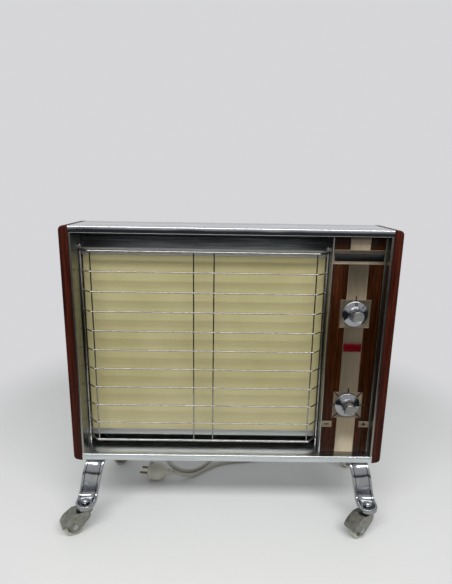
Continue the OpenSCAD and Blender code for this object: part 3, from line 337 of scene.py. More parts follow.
# Bright rolled sheet in the slot above the panel, dulled by warm air
heatedSheet = metalFinish("heat_dulled_bright_steel", "#dfe2e4", "#8f9294", (0.28, 0.46), (0.09, 0.006, 0.003),
                          0.000015, 0.0012)
# Chromium plate on drawn wire, dulled by heat and dust
chromeWire = metalFinish("heat_dulled_chrome_wire", "#adaba7", "#888683", (0.12, 0.24), (0.006,) * 3, 0.000004)
# Chromium plate over pressed steel
legChrome = metalFinish("chrome_plated_pressing", "#a3a5a7", "#8b8d8f", (0.12, 0.22), (0.03, 0.03, 0.06),
                        0.000008)
# The same plate, darkened as painted shade in the pressed step
stepShade = metalFinish("chrome_step_painted_shade", "#4a4a4c", "#2c2c2e", (0.2, 0.34), (0.004,) * 3)
# Champagne anodised aluminium, brushed up and down: warm, satin
champagne = metalFinish("champagne_anodised_aluminium", "#a1937d", "#8c806c", (0.38, 0.5),
                        (0.0006, 0.0006, 0.03))
# Chromium plate on the knobs, buffed hard
knobChrome = metalFinish("buffed_chrome_knob", "#a0a2a5", "#8b8d90", (0.05, 0.1), (0.004,) * 3, 0.000003)
# The grip's flat end, blasted: matt beside the buffed rim
blastedEnd = metalFinish("blasted_knob_end", "#aaaaa6", "#848480", (0.6, 0.74), (0.0025,) * 3, 0.00002)
# Turned brass of the plug's pins, tarnished: brown, with little shine left
brass = metalFinish("tarnished_turned_brass", "#83704a", "#5f5036", (0.28, 0.42), (0.002,) * 3, 0.000005)
# Bright zinc on screws, axles and stems: bluish grey
screwSteel = metalFinish("bright_zinc_screw_steel", "#a9adb0", "#96999c", (0.22, 0.36), (0.003,) * 3)
# Bright rolled aluminium behind the panel
rolledAluminium = metalFinish("bright_rolled_aluminium", "#b2b6ba", "#a2a6aa", (0.14, 0.26),
                              (0.1, 0.003, 0.003))
# Heat-tinted stainless sheath: brown-grey
heatedSheath = metalFinish("heat_tinted_stainless_sheath", "#61594f", "#4a423c", (0.35, 0.5), (0.01,) * 3)

# Gloss black phenolic: deep and hard
blackGloss = skinFinish("gloss_black_phenolic", "#0b0b0b", "#080808", (0.2, 0.28), 0.002, 0.000004)
# Black paint in the printed marks: flat
inkPrint = skinFinish("black_filled_mark", "#121212", "#0c0c0c", (0.4, 0.5), 0.001, 0.000002)
# Unglazed steatite: chalky
steatite = skinFinish("unglazed_steatite", "#e3dccd", "#d6cdbb", (0.6, 0.75), 0.0009, 0.00002, 1.6)
# Grey stoving enamel on the back: low gloss, a fine spray texture
greyPaint = skinFinish("grey_stoving_enamel", "#8d9090", "#858888", (0.38, 0.5), 0.0016, 0.00004)
# Zinc-plated pressing gone grey-green on the caster hoods, rubbed a little shiny
forkZinc = metalFinish("dulled_zinc_caster_hood", "#92928a", "#6c6c64", (0.24, 0.38), (0.007,) * 3, 0.00003)
# Nylon 6 wheel: warm white, scuffed by the floor
nylon = skinFinish("cast_nylon", "#bdbdb1", "#a0a094", (0.42, 0.6), 0.0012, 0.00004, 1.53)
# Flexible PVC sheath, ivory gone grey: a dull bloom over it
leadPvc = skinFinish("ivory_pvc_sheath", "#bab8aa", "#adab9d", (0.42, 0.55), 0.0014, 0.00002, 1.53)
# Moulded ivory urea plug: harder and glossier than the lead
plugPlastic = skinFinish("ivory_moulded_urea", "#bebcae", "#b0aea0", (0.3, 0.4), 0.0012, 0.00002, 1.55)
# Cast red acrylic over the lamp: deep, glassy
redLens = skinFinish("red_acrylic_lens", "#66040f", "#4c0209", (0.08, 0.14), 0.004, 0.000005, 1.49, 0.25)

# The pieces inside the casing are shown as the CAD has them
inside = {"heat_reflector": rolledAluminium, "heating_elements": heatedSheath, "element_brackets": zincStrip,
          "thermal_cutout": steatite, "neon_lamp": steatite, "power_switch": blackGloss, "power_shaft": brass,
          "thermostat": steatite, "thermostat_shaft": brass, "terminal_block": steatite}
for node, material in inside.items():
    coat(nodes[node], material)
print("materials made")

# Mains lead: one round flex from the gland through its coil to the plug
lead = {
    "drop": [(200, 99.5, 190), (200, 114.5, 190), (200, 130.5, 189), (200, 145.5, 183.5), (200, 157, 172),
             (200, 161.5, 156), (200, 162.5, 138), (200, 162.5, 100), (200, 162.5, 62), (199.5, 164, 43),
             (197, 167.5, 27), (191.5, 175, 14.5), (183, 186, 6.5)],
    "floor": [(172, 198.5), (148, 218), (116, 234), (78, 241), (38, 242), (-10, 239), (-58, 225),
              (-100, 198), (-130, 162), (-137, 126), (-128, 100), (-110, 82), (-87, 75), (-65, 82),
              (-49, 99), (-36, 121), (-17, 146)],
    "coilMiddle": (40, 176), "coilRadius": 46, "step": 8.3, "inwards": 1.5, "climb": 0.25, "coilFoot": 4.65,
    "turns": 3.5, "turnPoints": 16,
    "front": [(87.8, 155, 12.2), (84, 141, 10.2), (76, 129.5, 7.6), (64, 121.5, 5.2), (47, 117, 3.75),
              (14, 112.5, 3.75), (-17, 103.5, 3.75), (-42, 87.5, 3.75), (-61, 70, 3.75), (-77, 58.5, 4.75),
              (-91, 52, 8.75), (-105, 48.8, 15.25), (-118, 48, 19.5)],
    "thick": 7.5,
}


def coilPoint(turn):
    inner = lead["coilRadius"] - lead["step"] * lead["inwards"]
    radius = lead["coilRadius"] - lead["step"] * turn
    if turn >= lead["inwards"]:
        radius = inner + lead["step"] * max(0, turn - lead["inwards"] - lead["climb"])
    lift = lead["coilFoot"] + lead["step"] * min(1, max(0, (turn - lead["inwards"]) / lead["climb"]))
    angle = pi - 2 * pi * turn
    return lead["coilMiddle"][0] + radius * cos(angle), lead["coilMiddle"][1] + radius * sin(angle), lift


def layLead():
    points = lead["turnPoints"]
    coil = [coilPoint(k / points) for k in range(int(lead["turns"] * points) + 1)]
    ends = [(p[0], p[1] - lead["thick"], p[2]) for p in (coil[0], coil[-1])]
    route = lead["drop"] + [(x, y, lead["thick"] / 2) for x, y in lead["floor"]] + [ends[0]]
    route += coil + [ends[1]] + lead["front"]
    curve = bpy.data.curves.new("mains_lead", "CURVE")
    curve.dimensions = "3D"
    curve.resolution_u = curve.render_resolution_u = 4
    curve.bevel_depth = lead["thick"] / 2000
    curve.bevel_resolution = 3
    curve.use_fill_caps = True
    spline = curve.splines.new("BEZIER")
    spline.bezier_points.add(len(route) - 1)
    for point, place in zip(spline.bezier_points, route):
        point.co = onFloor(*place)
        point.handle_left_type = point.handle_right_type = "AUTO"
    piece = newObject("mains_flex", curve)
    curve.materials.append(leadPvc)
    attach(piece, "casing")
    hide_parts("mains_lead_rear", "cord_coil", "mains_lead_front")
    return piece


flex = layLead()
print("mains lead laid")


# Studio: pale floor, one wide soft lamp in front and above, and a dim room behind the camera
def studio():
    room = {"floor": "#dedfdd", "back": "#d6d6d9", "soft": "#c9cacc", "ambient": 0.78, "dim": "#2e2f33",
            "dimLit": "#8c8d8f", "dimAhead": (0.35, -0.3), "dimLow": (0.14, -0.1), "floorMiddle": 0.3,
            "floorReach": 0.85, "fadeFrom": 0.55, "lamp": 33.0, "lampSize": (2.4, 0.4), "lampRise": 52,
            "lampAway": 1.7, "lampAim": (0, -0.05, 0.35)}
    world = bpy.data.worlds.new("studio")
    bpy.context.scene.world = world
    world.use_nodes = True
    world.node_tree.nodes.clear()
    way = addNode(world, "SeparateXYZ", {"Vector": addNode(world, "TexCoord").outputs["Generated"]})
    ahead, low = [addNode(world, "MapRange", {"Value": way.outputs[axis], "From Min": room[edge][0],
                                              "From Max": room[edge][1]}, interpolation_type="SMOOTHSTEP")
                  for axis, edge in (("Y", "dimAhead"), ("Z", "dimLow"))]
    dim = addNode(world, "Math", {0: ahead, 1: low}, operation="MULTIPLY")
    rays = addNode(world, "LightPath")
    mirrored = addNode(world, "Math", {0: rays.outputs["Is Glossy Ray"], 1: rays.outputs["Is Transmission Ray"]},
                       operation="MAXIMUM")
    direct = addNode(world, "Math", {0: 1.0, 1: rays.outputs["Is Camera Ray"]}, operation="SUBTRACT")
    dimSeen = addNode(world, "Math", {0: dim, 1: direct}, operation="MULTIPLY")
    seen = addNode(world, "Mix", {0: dimSeen, 6: colour(room["back"]), 7: colour(room["dim"])}, data_type="RGBA")
    lit = addNode(world, "Mix", {0: dim, 6: colour(room["soft"]), 7: colour(room["dimLit"])}, data_type="RGBA")
    shown = addNode(world, "Math", {0: mirrored, 1: rays.outputs["Is Camera Ray"]}, operation="MAXIMUM")
    around = addNode(world, "MixShader", {
        0: shown, 1: addNode(world, "Background", {"Color": lit, "Strength": room["ambient"]}),
        2: addNode(world, "Background", {"Color": seen, "Strength": 1.0})})
    addNode(world, "OutputWorld", {"Surface": around})

    bpy.ops.mesh.primitive_circle_add(vertices=96, radius=room["floorReach"], fill_type="NGON",
                                      location=(0, room["floorMiddle"], -touching))
    floor = bpy.context.object
    floor.name = "floor"
    settle(floor)
    m, place = newMaterial("pale_floor")
    reach = addNode(m, "VectorMath", {0: place, 1: (0, room["floorMiddle"], 0)}, operation="DISTANCE")
    fade = addNode(m, "MapRange", {"Value": reach, "From Min": room["fadeFrom"], "From Max": room["floorReach"]},
                   interpolation_type="SMOOTHSTEP")
    faded = addNode(m, "Math", {0: fade, 1: addNode(m, "LightPath").outputs["Is Camera Ray"]},
                    operation="MULTIPLY")
    matt = addNode(m, "BsdfPrincipled", {"Base Color": colour(room["floor"]), "Roughness": 0.6})
    beyond = addNode(m, "Emission", {"Color": colour(room["back"]), "Strength": 1.0})
    addNode(m, "OutputMaterial", {"Surface": addNode(m, "MixShader", {0: faded, 1: matt, 2: beyond})})
    coat(floor, m)

    lamp = newObject("window_lamp", bpy.data.lights.new("window_lamp", "AREA"))
    rise = radians(room["lampRise"])
    lamp.location = Vector((0, -cos(rise), sin(rise))) * room["lampAway"] + Vector(room["lampAim"])
    lamp.rotation_euler = (pi / 2 - rise, 0, 0)
    lamp.data.shape = "RECTANGLE"
    lamp.data.size, lamp.data.size_y = room["lampSize"]
    lamp.data.energy = room["lamp"]


studio()
bpy.context.scene.view_settings.view_transform = "Standard"
print("studio lit")


def block(low, high, turn=(0, 0, 0)):  # a box between two corners, open for editing
    bpy.ops.mesh.primitive_cube_add(size=1, location=inCasing(*[(a + b) / 2 for a, b in zip(low, high)]),
                                    rotation=turn, scale=onFloor(*[b - a for a, b in zip(low, high)]))
    return justAdded()


# Wooden side boards: long outer edges well rounded, front edge eased
def sideBoards():
    board = {"inner": 275, "outer": 291.5, "depth": 108, "height": 442, "round": 8, "ease": 3, "soften": 0.8}
    right = block((board["inner"], 0, 0), (board["outer"], board["depth"], board["height"]))
    outer, front = board["outer"] / 1000, inCasing(0, 0, 0).y
    pick(right, "EDGE", lambda at, way: abs(at.x - outer) < touching and abs(way.y) > 0.9)
    roundOff(board["round"], 6)
    reach = outer - board["round"] / 1000 - touching
    pick(right, "EDGE", lambda at, way: abs(at.y - front) < touching and at.x > reach)
    roundOff(board["ease"], 4)
    softenEdges(right, board["soften"], angle=40)
    for side, piece in (("right", right), ("left", duplicate(right, mirror=(-1, 1, 1)))):
        finish(piece, "wood_side_" + side, teak, "side_board_" + side)


# Folded sheet: a flat strip whose edge is pulled out once for each fold, then rounded and thickened
def foldedSheet(path, span, bend, upright=False):
    middle, width, thick = (span[0] + span[1]) / 2, (span[1] - span[0]) / 1000, 1
    points = [inCasing(a, b, middle) if upright else inCasing(middle, a, b) for a, b in path]
    along = Vector((0, 0, 1)) if upright else Vector((1, 0, 0))
    way = (points[1] - points[0]).normalized()
    turn = Matrix((along, way, along.cross(way))).transposed().to_euler()
    bpy.ops.mesh.primitive_plane_add(size=1, location=(points[0] + points[1]) / 2, rotation=turn)
    piece = sized(width, (points[1] - points[0]).length)
    pick(piece, "EDGE", lambda at, d: (at - points[1]).length < touching and abs(d.dot(along)) > 0.9)
    for here, there in zip(points[1:], points[2:]):
        pullEdges(there - here)
    pick(piece, "EDGE", lambda at, d: any((at - p).length < touching for p in points[1:-1]))
    roundOff(bend, 4)
    closeMesh()
    modify(piece, "SOLIDIFY", thickness=thick / 1000, offset=0, use_even_offset=True)
    tidyMesh()
    softenEdges(piece, thick / 5, segments=1, angle=50)
    return piece


# Casing: cover and tray as folded from front to back, side frames as folded from the panel outwards
def casingSheets():
    sheet = {"half": 275, "bend": 1.2, "frameBend": 0.7, "frameFoot": 13, "frameTop": 430,
             "cover": [(8, 430.5), (0.5, 430.5), (0.5, 441.5), (107.5, 441.5), (107.5, 430)],
             "tray": [(107.5, 12), (107.5, 0.5), (0.5, 0.5), (0.5, 12.5), (46.5, 12.5), (46.5, 8)],
             "frame": [(271.5, 88), (271.5, 0.5), (274.5, 0.5), (274.5, 107.5), (263, 107.5)],
             "trayEnd": ((274, 1.2, 0.7), (275, 107, 12)), "endEase": 0.2}
    across = (-sheet["half"], sheet["half"])
    cover = foldedSheet(sheet["cover"], across, sheet["bend"])
    finish(cover, "steel_top_cover", polishedSteel, "top_cover")

    pieces = [foldedSheet(sheet["tray"], across, sheet["bend"])]
    low, high = sheet["trayEnd"]
    for near, far in ((-high[0], -low[0]), (low[0], high[0])):
        pieces.append(block((near, *low[1:]), (far, *high[1:])))
        roundOff(sheet["endEase"], 2)
        closeMesh()
    finish(join(pieces), "steel_base_tray", trayedSteel, "base_tray")

    span = (sheet["frameFoot"], sheet["frameTop"])
    for side, way in (("right", 1), ("left", -1)):
        piece = foldedSheet([(way * x, y) for x, y in sheet["frame"]], span, sheet["frameBend"], upright=True)
        finish(piece, "steel_frame_" + side, shadedUprightSteel, "side_frame_" + side)


# Radiant panel: pressed steel, its sides rolled back, the face a little slack as enamelled sheet is
def enamelPanel():
    panel = {"left": -267.4, "right": 172.6, "face": 45, "foot": 34, "top": 396, "deep": 12, "roll": 3,
             "wall": 1.2, "slack": 0.35, "waves": ((0.3, 1), (0.55, -0.8), (0.78, 0.9)), "waveHalf": 40,
             "waveFoot": 75, "waveTop": 355}
    width, height = panel["right"] - panel["left"], panel["top"] - panel["foot"]
    bpy.ops.mesh.primitive_grid_add(
        x_subdivisions=22, y_subdivisions=18, size=1, rotation=(pi / 2, 0, 0),
        location=inCasing((panel["left"] + panel["right"]) / 2, panel["face"], (panel["foot"] + panel["top"]) / 2))
    piece = sized(width / 1000, height / 1000)
    sides = [panel[side] / 1000 for side in ("left", "right")]

    def onSide(at, way):
        return abs(way.z) > 0.9 and min(abs(at.x - side) for side in sides) < touching
    pick(piece, "EDGE", onSide)
    pullEdges((0, panel["deep"] / 1000, 0))
    front = inCasing(0, panel["face"], 0).y
    pick(piece, "EDGE", lambda at, way: onSide(at, way) and abs(at.y - front) < touching)
    roundOff(panel["roll"], 5)
    low, high = (inCasing(0, 0, panel[edge]).z for edge in ("waveFoot", "waveTop"))
    for share, lift in panel["waves"]:  # slow waves in the face
        middle = sides[0] + share * (sides[1] - sides[0])
        pick(piece, "VERT", lambda at: abs(at.y - front) < 2 * touching and low < at.z < high
             and abs(at.x - middle) < panel["waveHalf"] / 1000)
        bpy.ops.transform.translate(value=(0, lift * panel["slack"] / 1000, 0))
    tidyMesh()
    modify(piece, "SUBSURF", levels=1, render_levels=1)
    modify(piece, "SOLIDIFY", thickness=panel["wall"] / 1000, offset=-1, use_even_offset=True)
    finish(piece, "enamelled_panel", enamel, "radiant_panel", smooth=50)


# Round wire: a disc pulled along each straight and spun round each bend
def bentRod(corners, thick, bend=0.0, sides=12):
    points = [inCasing(*c) for c in corners]
    way = (points[1] - points[0]).normalized()
    bpy.ops.mesh.primitive_circle_add(vertices=sides, radius=thick / 2000, fill_type="NGON",
                                      location=points[0], rotation=way.to_track_quat("Z", "Y").to_euler())
    piece = justAdded()
    here = points[0]
    for corner, after in zip(points[1:], points[2:]):
        onward = (after - corner).normalized()
        angle = way.angle(onward)
        cut = bend / 1000 * tan(angle / 2)
        pull(corner - way * cut - here)
        axle = way.cross(onward).normalized()
        centre = corner - way * cut + axle.cross(way) * bend / 1000
        bpy.ops.mesh.spin(steps=4, angle=-angle, center=centre, axis=axle)
        here, way = corner + onward * cut, onward
    pull(points[-1] - here)
    tidyMesh()
    return piece


def wireGrille():
    wire = {"thin": 2.5, "thick": 4, "count": 9, "foot": 31, "top": 397, "front": 22, "rodDepth": 39.5,
            "left": -268.9, "right": 174.1, "bendLeft": -251.4, "bendRight": 156.6, "bend": 6,
            "uprights": (-247.4, -65.5, -29.3, 152.6), "uprightDepth": 24.2, "past": 0.6, "rodFoot": 9,
            "rodTop": 408, "rodEase": 0.8}
    line = [(wire["left"], wire["rodDepth"]), (wire["bendLeft"], wire["front"]),
            (wire["bendRight"], wire["front"]), (wire["right"], wire["rodDepth"])]
    pitch = (wire["top"] - wire["foot"]) / (wire["count"] + 1)
    thin = bentRod([(*spot, wire["foot"] + pitch) for spot in line], wire["thin"], wire["bend"])
    thick = bentRod([(*spot, wire["foot"]) for spot in line], wire["thick"], wire["bend"], sides=16)
    rods = [thin, thick]
    rods += [duplicate(thin, (0, 0, pitch * i / 1000)) for i in range(1, wire["count"])]
    rods.append(duplicate(thick, (0, 0, (wire["top"] - wire["foot"]) / 1000)))
    for x in (wire["left"], wire["right"]):
        rod = bentRod([(x, wire["rodDepth"], wire["rodFoot"]), (x, wire["rodDepth"], wire["rodTop"])],
                      wire["thick"], sides=16)
        softenEdges(rod, wire["rodEase"])
        rods.append(rod)
    for x in wire["uprights"]:
        rods.append(bentRod([(x, wire["uprightDepth"], wire["foot"] - wire["past"]),
                             (x, wire["uprightDepth"], wire["top"] + wire["past"])], wire["thin"]))
    finish(join(rods), "chromed_wire_grille", chromeWire, "grille", smooth=50)


# Turned work: a ring raised and resized along a profile of (radius, height), then laid in place
def turned(profile, sides, place=(0, 0, 0), turn=(0, 0, 0)):
    bpy.ops.mesh.primitive_circle_add(vertices=sides, radius=profile[0][0] / 1000, fill_type="NGON",
                                      location=(0, 0, profile[0][1] / 1000))
    piece = justAdded()
    for (r0, z0), (r1, z1) in zip(profile, profile[1:]):
        pull((0, 0, (z1 - z0) / 1000))
        bpy.ops.transform.resize(value=(r1 / r0, r1 / r0, 1), center_override=(0, 0, z1 / 1000))
    tidyMesh()
    settle(piece)
    piece.rotation_euler = turn
    piece.location = place
    bpy.context.view_layer.update()
    return piece


# Where the two knobs stand on the fascia, one over the other
dial = {"axis": 224.2, "upper": 290.8, "lower": 112.5}


# Knobs: a thin conical skirt, a raised ring and a fluted, dished grip
def knobShape(height):
    knob = {"face": 16.9, "skirt": 23.3, "grip": 11.5, "tip": 10.1, "tall": 24, "gap": 0.5, "flutes": 16,
            "cut": 0.93, "fluteFoot": 7.7, "fluteTop": 23.5, "fluteHalf": 0.3, "fluteDeep": 1, "ease": 0.2}
    r, g, t, tall, gap = knob["skirt"], knob["grip"], knob["tip"], knob["tall"], knob["gap"]
    profile = [(r - 2, gap + 0.1), (r - 0.6, gap), (r, gap + 0.5), (r, gap + 1.1), (r - 0.4, gap + 1.5),
               (r - 1.2, gap + 1.8), (g + 2.8, gap + 4.4), (g + 2.3, gap + 4.7), (g + 2, gap + 5.7),
               (g + 1.3, gap + 6.1), (g + 0.3, gap + 6.1), (g, gap + 6.6), (g - 0.1, gap + 8),
               (t + 0.5, tall - 1.4), (t + 0.4, tall - 0.7), (t, tall - 0.2), (t - 0.5, tall), (t - 0.9, tall),
               (t - 1.2, tall - 0.3), (1, tall - 0.35)]
    piece = turned(profile, sides=knob["flutes"] * 6)

    def hollow(at):
        share = (atan2(at.y, at.x) * knob["flutes"] / (2 * pi)) % 1
        return (knob["fluteFoot"] < at.z * 1000 < knob["fluteTop"] and abs(share - 0.5) < knob["fluteHalf"]
                and at.to_2d().length * 1000 > t - knob["fluteDeep"])
    pick(piece, "VERT", hollow)
    bpy.ops.transform.resize(value=(knob["cut"], knob["cut"], 1), center_override=(0, 0, 0))
    closeMesh()
    softenEdges(piece, knob["ease"], angle=40)
    piece.rotation_euler = (pi / 2, 0, 0)
    piece.location = inCasing(dial["axis"], knob["face"], height)
    return piece


def knobDigits(height):  # plain figures on the upper dial, clockwise from the top
    mark = {"reach": 18.2, "tall": 6, "face": 13.2, "rise": 18.4, "depth": 0.25, "bold": 0.52, "apart": 45}
    made = []
    for k, figure in enumerate("0123"):
        bpy.ops.object.text_add()
        text = bpy.context.object
        text.data.body = figure
        text.data.size = mark["tall"] / 700  # a figure fills seven tenths of its type size
        text.data.extrude = mark["depth"] / 1000
        text.data.offset = mark["bold"] / 1000
        text.data.align_x, text.data.align_y = "CENTER", "CENTER"
        bpy.ops.object.convert(target="MESH")
        digit = bpy.context.object
        lean = Matrix.Rotation(radians(-mark["rise"]), 4, "X")
        face = Matrix.Rotation(pi / 2, 4, "X")
        around = Matrix.Rotation(radians(-mark["apart"] * k), 4, "Z")
        digit.matrix_world = (Matrix.Translation(inCasing(dial["axis"], mark["face"], height)) @ face @ around
                              @ Matrix.Translation((0, mark["reach"] / 1000, 0)) @ lean)
        made.append(digit)
    piece = join(made)
    settle(piece)
    return piece


def knobs():
    for name, node, height in (("switch", "power_knob", dial["upper"]),
                               ("thermostat", "thermostat_knob", dial["lower"])):
        knob = finish(knobShape(height), name + "_knob_chromed", knobChrome, node, name + "_dial", smooth=40)
        knob.data.materials.append(blastedEnd)
        tip = min(v.co.y for v in knob.data.vertices)
        for f in knob.data.polygons:
            f.material_index = int(f.normal.y < -0.95 and f.center.y < tip + 0.001)
    finish(knobDigits(dial["upper"]), "switch_figures", inkPrint, body="switch_dial",
           smooth=0)


# Fascia: laminate plate, satin band with two knob plates, marks, tags, badge bar and lens
def fasciaFront():
    easedCopies([("fascia", "laminate_plate", laminate, 0.4, 2),
                 ("fascia_trim", "satin_band_and_plates", champagne, 0.3, 2),
                 ("badge_bar", "bare_black_bar", blackGloss, 0.3, 2),
                 ("fascia_tags", "satin_tags", champagne, 0.2, 2),
                 ("indicator_lens", "red_window", redLens, 0.6, 2),
                 ("control_box", "divider_wall", shadedUprightSteel, 0.6, 2)])
    ink = {"deep": 1.3, "skin": 16.4, "tagSkin": 16.8, "ease": 0.08, "pointerUp": 28.5, "pointer": (9.5, 2),
           "from": 24.2, "to": (36.5, 33.5, 36.5, 34.5, 36.5, 33.5, 36.5), "first": 225, "apart": 45,
           "wide": 2.6, "minusAt": 188.3, "plusAt": 258.7, "tag": 72.5, "sign": (8, 2.2)}

    def stroke(x, z, size, angle, skin=ink["skin"]):  # one filled line, let into what lies under it
        long, wide = size
        line = block((x - long / 2, skin, z - wide / 2), (x + long / 2, skin + ink["deep"], z + wide / 2),
                     (0, -radians(angle), 0))
        roundOff(ink["ease"], 1)
        closeMesh()
        return line
    marks = [stroke(dial["axis"], dial["upper"] + ink["pointerUp"], ink["pointer"], 90)]
    for k, far in enumerate(ink["to"]):  # a fan round the lower knob, clockwise from its lower left
        angle = ink["first"] - ink["apart"] * k
        a, reach = radians(angle), (ink["from"] + far) / 2
        marks.append(stroke(dial["axis"] + reach * cos(a), dial["lower"] + reach * sin(a),
                            (far - ink["from"], ink["wide"]), angle))
    for x, angle in ((ink["minusAt"], 0), (ink["plusAt"], 0), (ink["plusAt"], 90)):
        marks.append(stroke(x, ink["tag"], ink["sign"], angle, ink["tagSkin"]))
    finish(join(marks), "printed_marks", inkPrint, smooth=0)


# Slot above the panel, rails and the small steel pieces
def smallSteel():
    # the rail over the panel takes the zinc painted whiter as light
    easedCopies([("panel_rail_top", "rail_over_panel", litZincStrip, 0.7, 3),
                 ("panel_rail_bottom", "rail_under_panel", zincStrip, 0.7, 3),
                 ("deflector", "warm_air_deflector", heatedSheet, 0.6, 3),
                 ("grille_clips", "rod_saddles", zincStrip, 0.3, 2),
                 ("leg_screws", "leg_fixing_screws", screwSteel, 0.3, 2),
                 ("cover_screws", "cover_fixing_screws", screwSteel, 0.2, 2),
                 ("back_cover", "louvred_back_cover", greyPaint, 0.3, 1),
                 ("cord_tie", "lead_tie_strap", blackGloss, 0.2, 2)], smooth=30)


# Legs: a strip carried down through its bends, rimmed, then given its thickness
def legShape():
    leg = {"stem": 267, "wide": 36, "reach": 23, "foot": 65, "arc": 30, "bend": 35, "face": -5, "fillet": 10,
           "drop": 72, "lean": 14.5, "flange": 8, "wall": 2, "press": 1.6, "rim": 2.8, "step": 1.5, "sunk": 0.9,
           "ease": 0.4, "shadeWidth": 0.5, "padShare": 0.02, "row": 0.04}
    half, x = leg["wide"] / 2, leg["stem"]
    bpy.ops.mesh.primitive_plane_add(size=1, location=inCasing(x, (leg["foot"] + leg["arc"]) / 2, 0))
    piece = sized(leg["wide"] / 1000, (leg["foot"] - leg["arc"]) / 1000)
    start = inCasing(x, leg["arc"], 0)
    pick(piece, "EDGE", lambda at, way: (at - start).length < touching)
    axis = Vector((1, 0, 0))  # the strip runs forwards, turns down, and turns forwards again
    bpy.ops.mesh.spin(steps=10, angle=-pi / 2, center=inCasing(x, leg["arc"], -leg["bend"]), axis=axis)
    straight = leg["drop"] - leg["fillet"] - leg["bend"]
    for third in range(3):
        pullEdges((0, 0, -straight / 3000))
    bpy.ops.mesh.spin(steps=6, angle=pi / 2, axis=axis,
                      center=inCasing(x, leg["face"] - leg["fillet"], -leg["drop"] + leg["fillet"]))
    pullEdges((0, -(leg["reach"] + half + leg["face"] - leg["fillet"]) / 1000, 0))
    closeMesh()
    tip = inCasing(x, -leg["reach"] - half, -leg["drop"])
    pick(piece, "VERT", lambda at: abs(at.y - tip.y) < touching and abs(at.z - tip.z) < touching)
    bpy.ops.mesh.bevel(offset=half / 1000 * 0.999, segments=10, affect="VERTICES")  # the pad's round end
    tidyMesh()
    modify(piece, "SOLIDIFY", thickness=leg["flange"] / 1000, offset=-1, use_rim=True, use_rim_only=True,
           use_even_offset=True)
    return piece, leg


def legs():
    piece, leg = legShape()
    back = inCasing(0, leg["foot"], 0).y
    pad = (casingFoot - leg["drop"]) / 1000
    pick(piece, "FACE", lambda at, n: n.y > 0.9 and abs(at.y - back) < touching)
    bpy.ops.mesh.delete(type="FACE")
    pick(piece, "EDGE")
    bpy.ops.mesh.edges_select_sharp(sharpness=radians(60))
    roundOff(leg["press"], 3)
    pick(piece, "FACE", lambda at, n: abs(n.x) < 0.01 and n.y < 0.5 and at.z > pad - touching)
    for width, depth in ((leg["rim"], 0), (leg["step"], -leg["sunk"])):  # the middle is pressed in
        bpy.ops.mesh.inset(thickness=width / 1000, depth=depth / 1000, use_boundary=False,
                           use_even_offset=False)
    closeMesh()

    def risen(z):  # 0 at the pad, 1 at the tray
        return min(1, max(0, (z - pad) * 1000 / leg["drop"]))
    levels = []  # the heights of the points, each row's together
    for z in sorted(v.co.z for v in piece.data.vertices):
        if levels and z - levels[-1][-1] < leg["row"] / 1000:
            levels[-1].append(z)
        else:
            levels.append([z])
    for level in levels:  # the strip leans outwards on its way down
        if risen(level[0]) > 0:
            pick(piece, "VERT", lambda at: level[0] - touching / 100 < at.z < level[-1] + touching / 100)
            bpy.ops.transform.translate(value=(-leg["lean"] / 1000 * risen(level[0]), 0, 0))
    closeMesh()
    modify(piece, "SOLIDIFY", thickness=leg["wall"] / 1000, offset=-1)
    softenEdges(piece, leg["ease"], angle=50)
    rear = duplicate(piece, mirror=(1, -1, 1))
    stepAt = leg["wide"] / 2 - leg["press"] - leg["rim"] - leg["step"] / 2
    for end, right in (("front", piece), ("rear", rear)):
        for side, strip in (("right", right), ("left", duplicate(right, mirror=(-1, 1, 1)))):
            node = "leg_" + end + "_" + side
            finish(strip, "pressed_" + node, legChrome, node)
            strip.data.materials.append(stepShade)
            for f in strip.data.polygons:  # the step round the pressed-in middle gets painted shade
                share = risen(f.center.z)
                across = abs(f.center.x) * 1000 - leg["stem"] + leg["lean"] * share
                past = abs(f.center.y) * 1000 - casingFront - leg["reach"] if share < leg["padShare"] else 0
                away = Vector((across, max(0, past))).length - stepAt
                f.material_index = int(abs(away) < leg["shadeWidth"])


# Fork of a caster: the folded plate with its long edges rolled and its cheeks notched before the axle
def hoodedFork(corner, stem, way):
    fork = {"half": 13, "top": 46, "sheet": 1.5, "trail": 23, "axle": 19, "hood": 24, "bow": 60, "rolled": 3.4,
            "notch": 9, "notchReach": 17.5, "notchLean": -10, "cutter": 40, "ease": 0.3, "near": 0.15,
            "nearTop": 0.1, "nearCheek": 0.08}
    side = Vector((-way.y, way.x, 0))
    centre = Vector((fork["trail"], fork["axle"]))
    lean = Vector((cos(radians(fork["bow"])), sin(radians(fork["bow"]))))

    def folded(at, skin):  # on the bend between roof and cheek, on the sheet's outer or inner skin
        flat = (at - stem) * 1000
        u, s, z = flat.dot(way), flat.dot(side), at.z * 1000  # along the trail, across it, over the floor
        reach = Vector((u, z)) - centre
        over = max(abs(z - fork["top"] + skin) < fork["nearTop"],
                   abs(reach.dot(lean) - fork["hood"] + skin) < fork["near"],
                   abs(reach.length - fork["hood"] + skin) < fork["near"] and reach.y > 3)
        behind = u < 0.5 and abs(Vector((u, s)).length - fork["half"] + skin) < fork["near"]
        return over and (abs(abs(s) - fork["half"] + skin) < fork["nearCheek"] or behind)
    piece = softCopy("caster_fork_" + corner, 0)
    for skin, roll in ((0, fork["rolled"]), (fork["sheet"], fork["rolled"] - fork["sheet"])):
        pick(piece, "EDGE", lambda at, d: folded(at, skin) and abs(d.dot(side)) < 0.98)
        roundOff(roll, 4, clamp_overlap=True)
    closeMesh()
    a = radians(fork["notchLean"])
    at = stem + way * (centre.x + fork["notchReach"] * cos(a)) / 1000
    at.z = (centre.y + fork["notchReach"] * sin(a)) / 1000
    bpy.ops.mesh.primitive_cylinder_add(
        vertices=40, radius=fork["notch"] / 1000, depth=fork["cutter"] / 1000, location=at,
        rotation=side.to_track_quat("Z", "Y").to_euler())
    cutAway(piece, bpy.context.object)
    softenEdges(piece, fork["ease"])
    return piece


